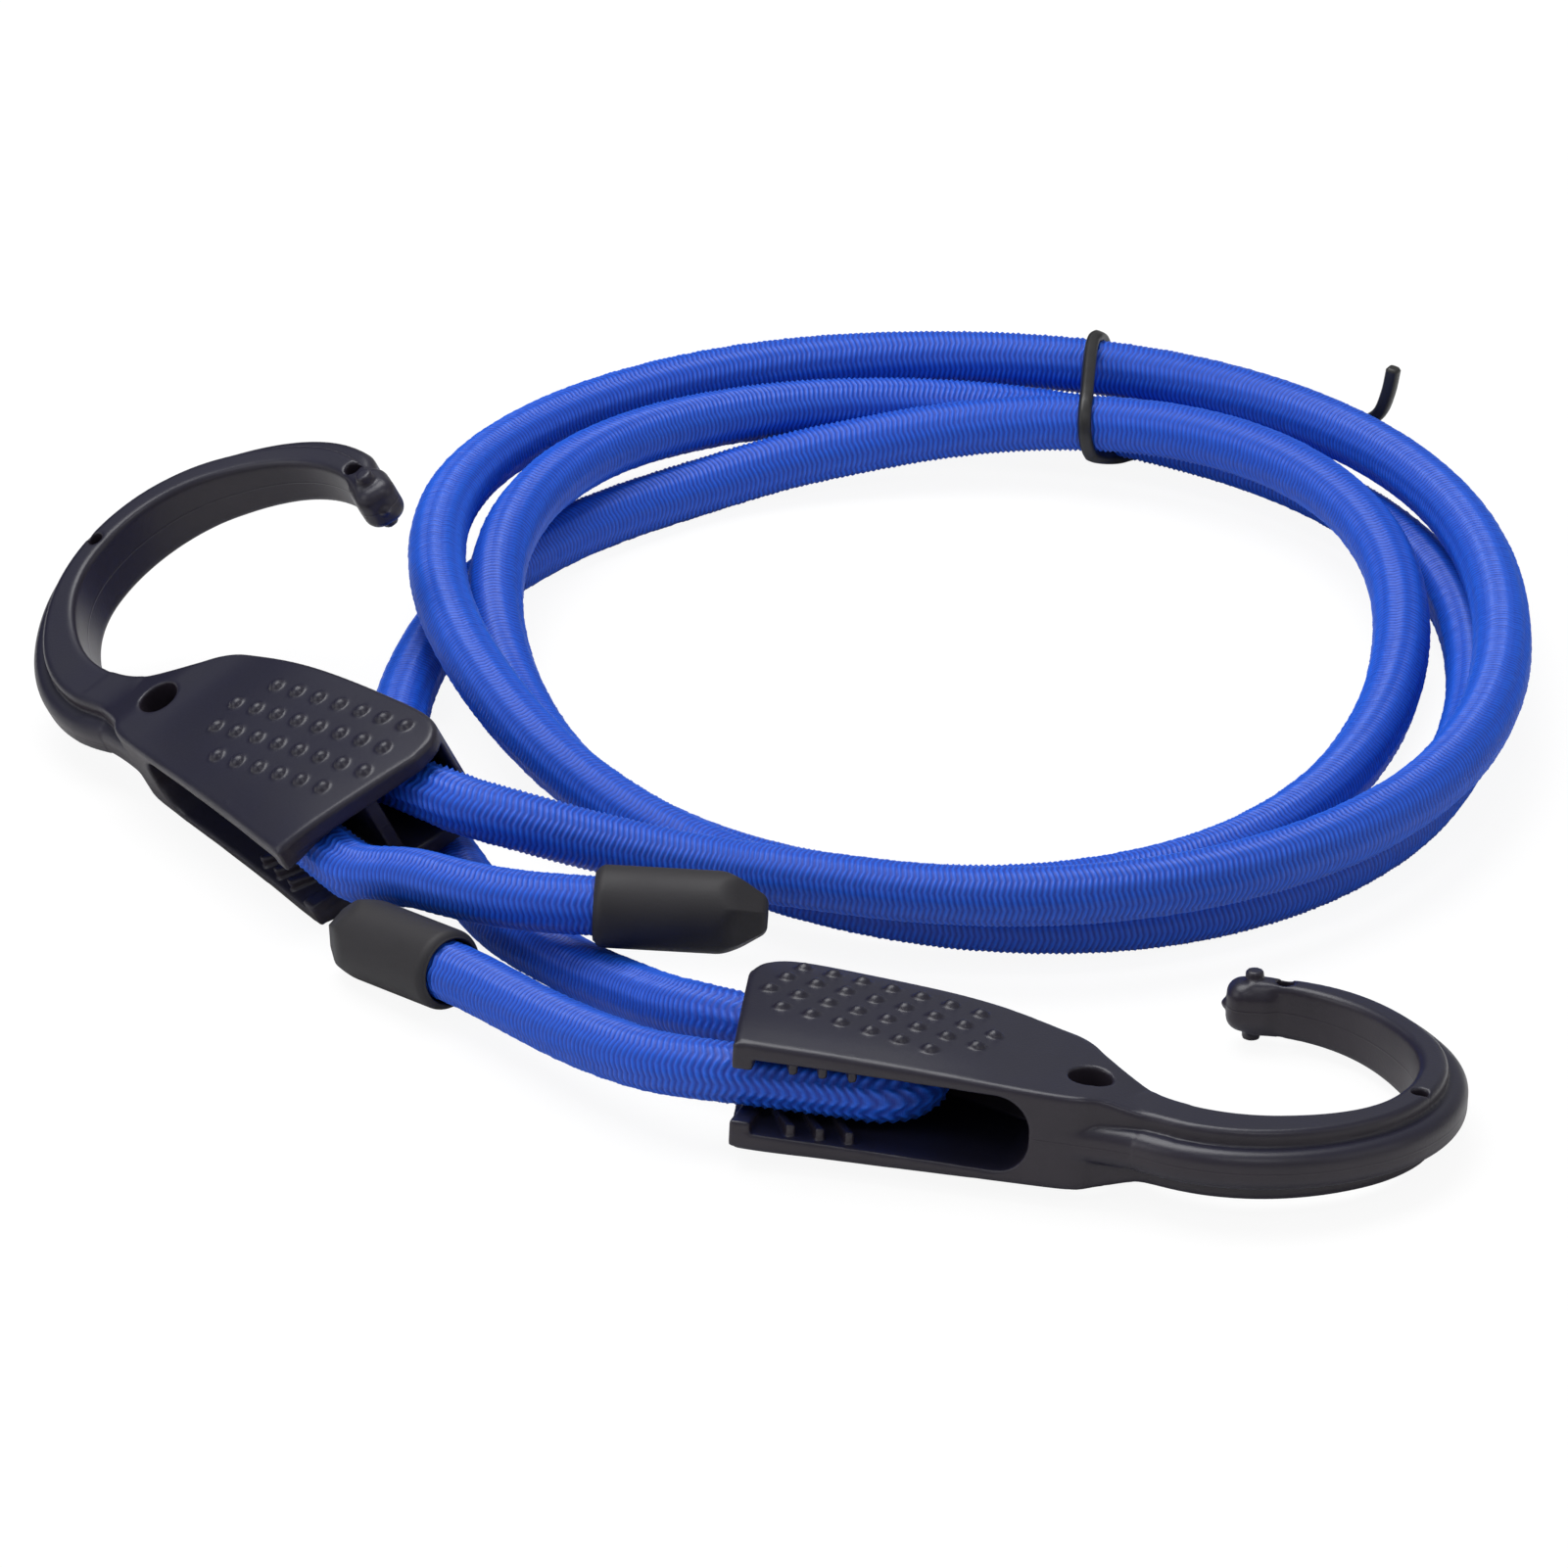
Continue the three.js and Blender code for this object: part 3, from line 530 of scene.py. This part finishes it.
# End caps: moulded plastic thimbles pushed over the cut ends of the cord, with
# a blind bore, a rounded mouth and six flats that taper to the tip.
CAP_R = 6.1
CAP_L = 25.3
CAP_BORE = (4.8, 14.5)
LIP_R = 1.6
INNER_LIP = (0.3, 0.6)
LIP_TOP_R = 5.15
TIP_EDGE = 0.8
TIP_HALF = 2.5
FLAT_TAPER = 0.6
FLAT_FROM = 12
FLAT_EASE = 0.9


def either(a, b, fillet):
    """The lesser of two, eased where they meet: of two fields, their union with a fillet in the corner."""
    h = np.maximum(fillet - abs(a - b), 0)
    return np.minimum(a, b) - h * h / (4 * fillet)


def cap_profile():
    """Radius and height from the bottom of the bore, out over the mouth's lip and along to the tip."""
    profile = [(CAP_BORE[0], z) for z in np.linspace(CAP_BORE[1], 1.4, 12)]
    for a in np.radians(np.linspace(180, 270, 6)):
        profile.append((LIP_TOP_R + INNER_LIP[0] * math.cos(a), INNER_LIP[1] + INNER_LIP[1] * math.sin(a)))
    for a in np.radians(np.linspace(-64, 0, 9)):
        profile.append((CAP_R - LIP_R + LIP_R * math.cos(a), LIP_R + LIP_R * math.sin(a)))
    profile += [(CAP_R, z) for z in np.linspace(2, CAP_L - TIP_EDGE, 60)]
    for a in np.radians(np.linspace(10, 90, 7)):
        profile.append((CAP_R, CAP_L - TIP_EDGE + TIP_EDGE * math.sin(a)))
    return profile


def cap_rings(side):
    mouth, axis = cap_axis(side)
    level = np.cross((0, 0, 1), axis)
    level /= np.linalg.norm(level)
    spin = np.radians(np.arange(0, 360, 2.5))
    around = np.cos(spin)[:, None] * level + np.sin(spin)[:, None] * np.cross(axis, level)
    flats = np.cos((spin + np.pi / 6) % (np.pi / 3) - np.pi / 6)
    found = []
    for r, z in cap_profile():
        to_tip = CAP_L - z
        flat = TIP_HALF + FLAT_TAPER * to_tip
        if to_tip < TIP_EDGE:
            flat -= TIP_EDGE - math.sqrt(max(TIP_EDGE**2 - (TIP_EDGE - to_tip) ** 2, 0))
        out = np.full_like(spin, r) if z < FLAT_FROM else either(r, flat / flats, FLAT_EASE)
        found.append(mouth + z * axis + out[:, None] * around)
    return np.array(found)


CAP_DARK = (0.015, 0.014, 0.0165, 1)
CAP_PALE = (0.025, 0.0235, 0.0275, 1)

cap_plastic, start, shader = new_finish("cap_plastic")
dull = start.clouds(140.0, 4.0)
coat(start, shader, {
    "Base Color": start.mix(dull, CAP_DARK, CAP_PALE),
    "Roughness": 0.5 + 0.2 * dull,
    "Specular IOR Level": 0.34,
    "Normal": start.bump(0.3, 0.00008, start.clouds(2600.0, 3.0)),
})
for side in HOOKS:
    cap = closed_tube(side + "_cap", cap_rings(side))
    cap.data.materials.append(cap_plastic)
    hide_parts(side + "_end_cap")
    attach(cap, side + "_tail")
    piece, line = cords[side + "_tail"]

# Hooks: glass-filled nylon mouldings, a ring to hang on and a hollow body with
# a cleat that grips the turned-back cord. Rows of raised dots help the fingers.
CELL = 0.35
LOW = np.array([-56.5, -13.0, -11.1])
HIGH = np.array([53.5, 54.0, 11.1])

# The moulding is a field on a grid, negative inside, round the neck hole: u along
# the body towards the ring, v across it to the far side, w out to either face.
axes = [np.arange(a, b, CELL) for a, b in zip(LOW, HIGH)]
plan_u, plan_v = np.meshgrid(axes[0], axes[1], indexing="ij")
u = plan_u[..., None].astype(np.float32)
v = plan_v[..., None].astype(np.float32)
w = abs(axes[2])[None, None, :].astype(np.float32)


def both(a, b, edge):
    """Where two fields overlap, with a rounded edge."""
    outside = np.hypot(np.maximum(a + edge, 0), np.maximum(b + edge, 0))
    return np.minimum(np.maximum(a, b) + edge, 0) + outside - edge


def drawn(*lines):
    """Distance to a closed outline in the hook's plane, negative inside."""
    points = np.vstack(lines)
    d = np.full(plan_u.shape, 1e9)
    inside = np.zeros(plan_u.shape, bool)
    for (au, av), (bu, bv) in zip(points, np.roll(points, -1, axis=0)):
        eu, ev = bu - au, bv - av
        t = np.clip(((plan_u - au) * eu + (plan_v - av) * ev) / (eu * eu + ev * ev), 0, 1)
        d = np.minimum(d, (plan_u - au - t * eu) ** 2 + (plan_v - av - t * ev) ** 2)
        if bv != av:
            inside ^= ((av > plan_v) != (bv > plan_v)) & (plan_u < au + (plan_v - av) * eu / ev)
    return (np.where(inside, -1, 1) * np.sqrt(d))[..., None].astype(np.float32)


# Body: faces that taper from the mouth to the neck and are slightly crowned.
BODY_L = 54.6
MOUTH_HALF = 8.25
NECK_HALF = 7.2
ROOT_HALF = 5.1
ROOT_AT = 11.3
CROWN = 1.3
CROWN_AT = (-33, 8.2)
CROWN_REACH = (28, 18)
BODY_EDGE = 0.85

taper = MOUTH_HALF + (u + BODY_L) / BODY_L * (NECK_HALF - MOUTH_HALF)
crown_u = smooth(1 - ((u - CROWN_AT[0]) / CROWN_REACH[0]) ** 2, 0, 1)
crown_v = smooth(1 - ((v - CROWN_AT[1]) / CROWN_REACH[1]) ** 2, 0, 1)
face = taper + (ROOT_HALF - taper) * smooth(u, 0, ROOT_AT) + CROWN * crown_u * crown_v
far_side = through([
    (-53.7, 17.6), (-52.6, 21.4), (-50.2, 23.6), (-46.8, 24.3), (-35, 22.5), (-20, 19), (-8, 15.2),
    (-4, 13.4), (-1.4, 11.2), (0.9, 8.2), (3.2, 5.9), (6, 3.8), (9.2, 1.7), (12.2, 0), (15, -1),
], 6)
near_side = through([
    (15, -7.4), (12, -7), (9, -6.9), (5.5, -7.1), (2.6, -7.5), (0.8, -8.3), (-1.2, -8.7), (-8, -8.6),
    (-20, -8), (-35, -7.4), (-48.4, -7), (-49.8, -6.6), (-50.5, -5.2),
], 6)
body = both(drawn(far_side, near_side), w - face, BODY_EDGE)

# Cleat: a space open at the mouth and along the near side, round at its end,
# and a divider in it that the cord turns round.
SLOT_END = -6.9
SLOT_HALF = 5.7
SLOT_ROUND = 5.0
CHANNEL_HALF = 4.8
PAST_MOUTH = -64
PAST_SIDE = -16
DIVIDER_FROM = -51
DIVIDER_HALF = 1.1
NOSE_R = 1.6
CLEAT_EDGE = 0.5


def lead_v(at_u):
    """The lead's centre line across the body."""
    return CLEAT_TOP[1] - (at_u - CLEAT_TOP[0]) * math.tan(SPLAY)


space = drawn([
    (PAST_MOUTH, PAST_SIDE), (SLOT_END, PAST_SIDE), (SLOT_END, 5.5), (-8.4, 8.6), (-14.5, 12), (-28, 18.1),
    (PAST_MOUTH, lead_v(PAST_MOUTH) + CHANNEL_HALF / math.cos(SPLAY)),
])
space = np.maximum(space, both(u - SLOT_END, w - SLOT_HALF, SLOT_ROUND))
divider_v = (TAIL_V + lead_v(DIVIDER_FROM)) / 2
arc = np.linspace(-math.pi / 2, math.pi / 2 - SPLAY, 15)
nose = CLEAT_NOSE + NOSE_R * np.stack([np.cos(arc), np.sin(arc)], axis=1)
divider_end = [(DIVIDER_FROM, divider_v + DIVIDER_HALF), (DIVIDER_FROM, divider_v - DIVIDER_HALF)]
space = np.maximum(space, -drawn(divider_end, nose))
hook = -either(-body, space, CLEAT_EDGE)

# Three slanting ribs and a mouth lip on both inner faces, taller at the near side.
RIB_SLANT = math.radians(24)
RIB_AT = (-43.4, -1.9)
RIB_PITCH = 4.3
RIB_HALF = 0.65
LIP_AT = (-48.9, -2.4)
LIP_HALF = 1.5
BAR_HALF_L = 4.6
BAR_MIDDLE = 6
BAR_TALL = 1.2
GROWS_FROM = -1
GROWS_OVER = 5
BAR_EDGE = 0.3


def inner_bar(a, b, half, growth, edge):
    """A bar on both inner faces, where a is the distance across it and b the distance along it."""
    plan = both(abs(a) - half, abs(b) - BAR_HALF_L, BAR_EDGE)
    taller = growth * np.clip(GROWS_FROM - v, 0, GROWS_OVER)
    return both(plan, abs(w - BAR_MIDDLE) - BAR_TALL - taller, edge)


for k in range(3):
    du, dv = u - RIB_AT[0] - RIB_PITCH * k, v - RIB_AT[1]
    over_rib = du * math.cos(RIB_SLANT) + dv * math.sin(RIB_SLANT)
    along_rib = dv * math.cos(RIB_SLANT) - du * math.sin(RIB_SLANT)
    hook = either(hook, inner_bar(over_rib, along_rib, RIB_HALF, 0.2, BAR_EDGE), BAR_EDGE)
hook = either(hook, inner_bar(u - LIP_AT[0], v - LIP_AT[1], LIP_HALF, 0.15, 0.25), BAR_EDGE)

# Ring: flat rims above and below a wider bulge, lower towards the tip. Its angles
# count from straight ahead, on to the tip and back to the body.
RING_MIDDLE = 20.3
RING_CLEAR = 23.2
RIM_WIDE = 4.2
RIM_HALF = (5.4, 4.2)
RIM_EDGE = 1.0
BULGE_WIDE = 3.1
BULGE_HALF = 2.9
BULGE_ROUND = 2.0
BULGE_FILLET = 0.35
RING_FILLET = 0.7
RING_FROM = -122
BULGE_FROM = -112
RING_TO = 103

ring_u, ring_v = plan_u - RING_MIDDLE, plan_v - RING_MIDDLE
out_r = np.hypot(ring_u, ring_v)[..., None].astype(np.float32)
deg = np.degrees(np.arctan2(ring_v, ring_u))
deg = np.where(deg < -140, deg + 360, deg)[..., None]
clear = RING_CLEAR + 3.2 * smooth(deg, 35, 101)
inner = clear - 1.3 * smooth(-deg, 25, 70)
rim = clear + RIM_WIDE + 1.6 * smooth(-deg, 45, 105) - 0.8 * smooth(deg, 70, 105)
bulge = rim + BULGE_WIDE - 0.6 * smooth(deg, 60, 110) - 2.1 * smooth(deg, 86, 99)
rim_top = w - between(RIM_HALF, smooth(deg, -10, 95))
rims = both(abs(out_r - (inner + rim) / 2) - (rim - inner) / 2, rim_top, RIM_EDGE)
bulge = both(out_r - bulge, w - BULGE_HALF, BULGE_ROUND)
bulge = np.maximum(np.maximum(bulge, inner + 2 - out_r), BULGE_FROM - deg)
past_ends = np.maximum(RING_FROM - deg, deg - RING_TO) * np.radians(1) * out_r
ring = both(either(rims, bulge, BULGE_FILLET), past_ends, 0.8)
hook = either(hook, ring, RING_FILLET)

# The bulge runs out along the near side of the neck.
root = through([(-6, -8.4), (0, -8.75), (4, -8.9), (8.2, -9.35), (12, -10.3), (15, -11.2)], 6)
root = both(drawn(root, [(15, -5), (-6, -5)]), w - BULGE_HALF, BULGE_ROUND)
hook = either(hook, root, BULGE_FILLET)


def on_ring(angle, radius):
    turn = math.radians(angle)
    return RING_MIDDLE + radius * math.cos(turn), RING_MIDDLE + radius * math.sin(turn)


# Tip: a rounded block with a nib at its end and a pin on either face.
TIP_DEG = 101
TIP_AT = on_ring(TIP_DEG, 28.7)
TIP_BLOCK = (3.9, 3.3, 3.7)
NIB_AT = 3.7
NIB_R = 0.9
PIN_R = 1.35
PIN_HALF = 5.4
TIP_FILLET = 1.0
NIB_FILLET = 0.4
PIN_FILLET = 0.3

du, dv = u - TIP_AT[0], v - TIP_AT[1]
ahead = dv * math.cos(math.radians(TIP_DEG)) - du * math.sin(math.radians(TIP_DEG))
outwards = du * math.cos(math.radians(TIP_DEG)) + dv * math.sin(math.radians(TIP_DEG))
block = both(abs(ahead) - TIP_BLOCK[0], abs(outwards) - TIP_BLOCK[1], 2.6)
hook = either(hook, both(block, w - TIP_BLOCK[2], 2.2), TIP_FILLET)
hook = either(hook, np.sqrt((ahead - NIB_AT) ** 2 + outwards ** 2 + w ** 2) - NIB_R, NIB_FILLET)
hook = either(hook, both(np.hypot(du, dv) - PIN_R, w - PIN_HALF, 0.35), PIN_FILLET)

# Grip dots: four slanting rows of low domes on both faces, each row with its
# count and the shift of its start along the body.
DOT_ROWS = [(7, 0), (8, -1.4), (8, -2.9), (6, 0.2)]
DOT_FROM = (-46.2, 20.5)
DOT_PITCH = 4.6
ROW_PITCH = 5.15
ROW_SLANT = 0.28
DOT_R = 1.35
DOT_SUNK = 0.45
DOT_FILLET = 0.1
DOT_CELLS = 7

for row, (count, start_u) in enumerate(DOT_ROWS):
    for k in range(count):
        dot_u = DOT_FROM[0] + start_u + DOT_PITCH * k
        dot_v = DOT_FROM[1] - ROW_PITCH * row - ROW_SLANT * (dot_u - DOT_FROM[0])
        i, j = (int(round((a - b) / CELL)) for a, b in zip((dot_u, dot_v), LOW))
        patch = tuple(slice(c - DOT_CELLS, c + DOT_CELLS + 1) for c in (i, j))
        dot_w = float(face[i, j, 0]) - DOT_SUNK
        dome = np.sqrt((u[patch] - dot_u) ** 2 + (v[patch] - dot_v) ** 2 + (w - dot_w) ** 2) - DOT_R
        hook[patch] = either(hook[patch], dome, DOT_FILLET)

# Holes through both faces: the neck's, one in the ring and one beside the tip's pin.
HOLES = [((0, 0), 6.3), (on_ring(-15.5, 25.7), 2.4), (on_ring(91.9, 28.3), 2.6)]
HOLE_EDGE = 0.4
for (hole_u, hole_v), across in HOLES:
    hook = -either(-hook, np.hypot(u - hole_u, v - hole_v) - across / 2, HOLE_EDGE)
hook = hook.astype(np.float32)


def surface(field):
    """Points and four-sided faces of the skin where a field on the grid crosses zero."""
    inside = field < 0
    nx, ny, nz = (n - 1 for n in field.shape)
    corners = product((0, 1), repeat=3)
    count = sum(inside[i:nx + i, j:ny + j, k:nz + k].astype(np.int8) for i, j, k in corners)
    mixed = (count > 0) & (count < 8)
    number = np.full(mixed.shape, -1)
    number[mixed] = np.arange(mixed.sum())
    cells = np.argwhere(mixed)
    total, hits = np.zeros((len(cells), 3)), np.zeros(len(cells))
    unit = np.eye(3, dtype=int)
    for axis in range(3):
        others = [unit[k] for k in range(3) if k != axis]
        for j, k in product((0, 1), repeat=2):
            edge = j * others[0] + k * others[1]
            a, b = field[tuple((cells + edge).T)], field[tuple((cells + edge + unit[axis]).T)]
            crossed = (a < 0) != (b < 0)
            share = np.where(crossed, a / np.where(crossed, a - b, 1), 0)
            total += crossed[:, None] * (edge + share[:, None] * unit[axis])
            hits += crossed
    faces = []
    for axis in range(3):
        first, second = (k for k in range(3) if k != axis)
        a, b = (np.take(inside, range(s, field.shape[axis] - 1 + s), axis) for s in (0, 1))
        edges = np.argwhere(a != b)
        edges = edges[(edges[:, first] > 0) & (edges[:, second] > 0)]
        flip = a[tuple(edges.T)]
        if axis == 1:
            flip = ~flip
        back = (0 * unit[first], unit[first], unit[first] + unit[second], unit[second])
        quad = np.stack([number[tuple((edges - o).T)] for o in back], axis=1)
        faces.append(np.where(flip[:, None], quad, quad[:, ::-1]))
    return LOW + CELL * (cells + total / hits[:, None]), np.vstack(faces)


def sampled(field, points):
    """The field's value between the grid's points."""
    at = (points - LOW) / CELL
    base = np.clip(at.astype(int), 0, np.array(field.shape) - 2)
    part = at - base
    value = 0
    for corner in product((0, 1), repeat=3):
        weight = np.prod(np.where(corner, part, 1 - part), axis=1)
        value = value + weight * field[tuple((base + corner).T)]
    return value


# The skin's points are drawn onto the true surface, along the field's slope.
FURTHEST = 0.2
points, faces = surface(hook)
steepness = np.gradient(hook, CELL)
for _ in range(2):
    way = np.stack([sampled(s, points) for s in steepness], axis=1)
    off = sampled(hook, points) / np.maximum((way * way).sum(axis=1), 0.3)
    points = points - np.clip(off, -FURTHEST, FURTHEST)[:, None] * way
facing = abs(way[:, 2]) / np.linalg.norm(way, axis=1)

# Painted light: the moulding's flat faces and its sides get different base colours, a painted cool reflection
# on the faces and painted warmer light on the sides, chosen by which way the surface faces. The dull blotches
# are the plastic's own uneven tone.
NYLON_SIDES_PAINTED_LIGHT = (0.0275, 0.0215, 0.031, 1)
NYLON_FACES_PAINTED_REFLECTION = (0.0135, 0.0132, 0.03, 1)
NYLON_DULL = (0.008, 0.0078, 0.0125, 1)

nylon, start, shader = new_finish("hook_nylon")
dull = start.clouds(120.0, 4.0)
on_face = start.painted("facing")
seam = start.soft_step(start.math("ABSOLUTE", start.painted("across")), 0.06, 0.2, 1.0, 0.0)
grain = start.clouds(2400.0, 3.0) * 0.5
coat(start, shader, {
    "Base Color": start.mix(dull * 0.5, start.mix(on_face, NYLON_SIDES_PAINTED_LIGHT, NYLON_FACES_PAINTED_REFLECTION), NYLON_DULL),
    "Roughness": 0.31 + 0.12 * dull,
    "Specular IOR Level": 0.4,
    "Normal": start.bump(0.35, 0.0001, grain + seam * (1 - on_face)),
})
for side, place in HOOKS.items():
    mesh = bpy.data.meshes.new(side + "_hook_moulding")
    mesh.from_pydata((placed(place, points) / 1000).tolist(), [], faces.tolist())
    mesh.shade_smooth()
    paint(mesh, "facing", facing)
    paint(mesh, "across", points[:, 2])
    mesh.materials.append(nylon)
    moulding = bpy.data.objects.new(side + "_hook_moulding", mesh)
    scene.collection.objects.link(moulding)
    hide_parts(side + "_hook")
    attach(moulding, side + "_hook")

# Tie: soft wire in a black plastic coat, bent once round the turns at the back,
# with both ends run out beside them.
TIE_R = 1.08
TIE_AT = 76
TIE_REACH = CORD_R + TIE_R - 0.6
TIE_LOW = TIE_R + 0.1


def beside(deg, out, height):
    """A point of the wire out from the outer turn's middle, as a radius, an angle and a height."""
    return lobed(OUTER_TURN, deg) + out, deg, height


def wrapped(strand, first, last, deg_first, deg_last, count):
    """Points round one strand of cord, from one side of it to another."""
    turn = np.radians(np.linspace(first, last, count))
    radius = strand[0] + TIE_REACH * np.cos(turn)
    return zip(radius, np.linspace(deg_first, deg_last, count), strand[1] + TIE_REACH * np.sin(turn))


def tie_line():
    strands = []
    for deg in (TIE_AT, TIE_AT + 360, TIE_AT + 720):
        x, y, z = hank_turns(deg) - LAID
        strands.append((math.hypot(x - HANK_MIDDLE[0], y - HANK_MIDDLE[1]), z))
    outer, second, third = strands
    points = [
        beside(47.1, 9.5, 23.4), beside(47.5, 9, 19), beside(48.3, 8.4, 15.2), beside(50.2, 7.6, 12.2),
        beside(53.4, 6.4, 8), beside(58, 5.4, 3.6), beside(64, 5, TIE_LOW + 0.6),
        beside(70, 5.4, TIE_LOW + 1.4),
        *wrapped(outer, -32, 100, 76.6, 77.4, 8), *wrapped(third, 108, 240, 75.8, 74.9, 8),
        *wrapped(second, 264, 264, 73.6, 73.6, 1), (second[0] + 5, 72, TIE_LOW), beside(69, 1.6, TIE_LOW),
        beside(63, 1.5, TIE_LOW), beside(57, 2.4, TIE_LOW), (beside(51, 5.2, 0)[0], 50, TIE_LOW),
    ]
    flat = []
    for r, deg, z in points:
        turn = math.radians(deg)
        flat.append((HANK_MIDDLE[0] + r * math.cos(turn), HANK_MIDDLE[1] + r * math.sin(turn), z))
    return through(np.array(flat) + LAID, 12)


def wire_rings(line, radii, sides):
    """Rings of points round a line, nearly square with round corners, turned so that they don't twist."""
    way = np.gradient(line, axis=0)
    way /= np.linalg.norm(way, axis=1, keepdims=True)
    across = np.cross(way[0], (0.3, 0.2, 1))
    found = []
    spin = np.arange(sides) * 2 * np.pi / sides
    square = 1 / (abs(np.cos(spin)) ** 4 + abs(np.sin(spin)) ** 4) ** 0.25
    for p, ahead, r in zip(line, way, radii):
        across = across - ahead * (across @ ahead)
        across = across / np.linalg.norm(across)
        ring = np.cos(spin)[:, None] * across + np.sin(spin)[:, None] * np.cross(ahead, across)
        found.append(p + r * square[:, None] * ring)
    return np.array(found)


COATING_DARK = (0.007, 0.007, 0.008, 1)
COATING_SCUFFED = (0.014, 0.014, 0.015, 1)

line = tie_line()
radii = np.full(len(line), TIE_R)
radii[[0, -1]] = 0.75 * TIE_R
tie = closed_tube("twist_tie_wire", wire_rings(line, radii, 20))
tie_coating, start, shader = new_finish("tie_coating")
scuff = start.clouds(300.0, 4.0)
coat(start, shader, {
    "Base Color": start.mix(scuff, COATING_DARK, COATING_SCUFFED),
    "Roughness": 0.3 + 0.25 * scuff,
})
tie.data.materials.append(tie_coating)
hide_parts("twist_tie")
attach(tie, "hank")

# Studio: a plain white sheet for a floor, one large soft lamp above the cord, a
# strip above the camera, fill from both sides and a dark card low behind on the left.
SHEET = [(-4, -4, 0), (4, -4, 0), (4, 6, 0), (-4, 6, 0)]
SHEET_GREY = (0.7, 0.7, 0.7, 1)
SHEET_PALE = (0.72, 0.72, 0.72, 1)
WHITE = (1, 1, 1, 1)
CARD_BLACK = (0.02, 0.02, 0.03, 1)
CARD_EDGES = [(0.07, -0.03), (0.3, 0.6), (0.56, 0.46)]
SKY = 0.32

floor_mesh = bpy.data.meshes.new("floor")
floor_mesh.from_pydata(SHEET, [], [(0, 1, 2, 3)])
floor = bpy.data.objects.new("floor", floor_mesh)
scene.collection.objects.link(floor)
paper, start, shader = new_finish("white_sheet")
coat(start, shader, {
    "Base Color": start.mix(start.clouds(40.0, 3.0), SHEET_GREY, SHEET_PALE),
    "Roughness": 0.9,
})
glow = start.node("Emission", {}, {"Color": WHITE, "Strength": 1.04})
seen = start.node("LightPath") * 0.88
lit = Wire(start.tree, shader.outputs[0])
sheet_look = start.node("MixShader", {}, {0: seen, 1: lit, 2: glow})
coat(start, start.tree.nodes["Material Output"], {"Surface": sheet_look})
floor_mesh.materials.append(paper)


def soft_lamp(name, place, aim, size, watts):
    """A soft box at a place, turned towards the aim, all in metres."""
    lamp = bpy.data.lights.new(name, "AREA")
    lamp.shape = "RECTANGLE"
    lamp.size, lamp.size_y = size
    lamp.energy = watts
    holder = bpy.data.objects.new(name, lamp)
    holder.location = place
    holder.rotation_euler = (Vector(aim) - Vector(place)).to_track_quat("-Z", "Y").to_euler()
    scene.collection.objects.link(holder)


soft_lamp("top_light", (-0.25, 0.3, 1.3), (0, 0.02, 0), (1.2, 0.8), 18)
soft_lamp("front_light", (0.25, -0.95, 1.15), (0.05, -0.08, 0), (0.7, 0.25), 2.5)
soft_lamp("left_fill", (-1.3, -0.5, 0.7), (0, 0, 0), (0.9, 0.9), 4.5)
soft_lamp("right_fill", (1.3, -0.5, 0.7), (0, 0, 0), (0.9, 0.9), 1.8)

world = bpy.data.worlds.new("studio")
world.use_nodes = True
start = Wire(world.node_tree)
towards = start.node("TexCoord")
card = 1.0
for axis, (low, high) in enumerate(CARD_EDGES):
    card = card * start.soft_step(start.node("SeparateXYZ", {}, {0: towards}, out=axis), low, high)
coat(start, world.node_tree.nodes["Background"], {
    "Color": start.mix(card, WHITE, CARD_BLACK),
    "Strength": SKY,
})
scene.world = world
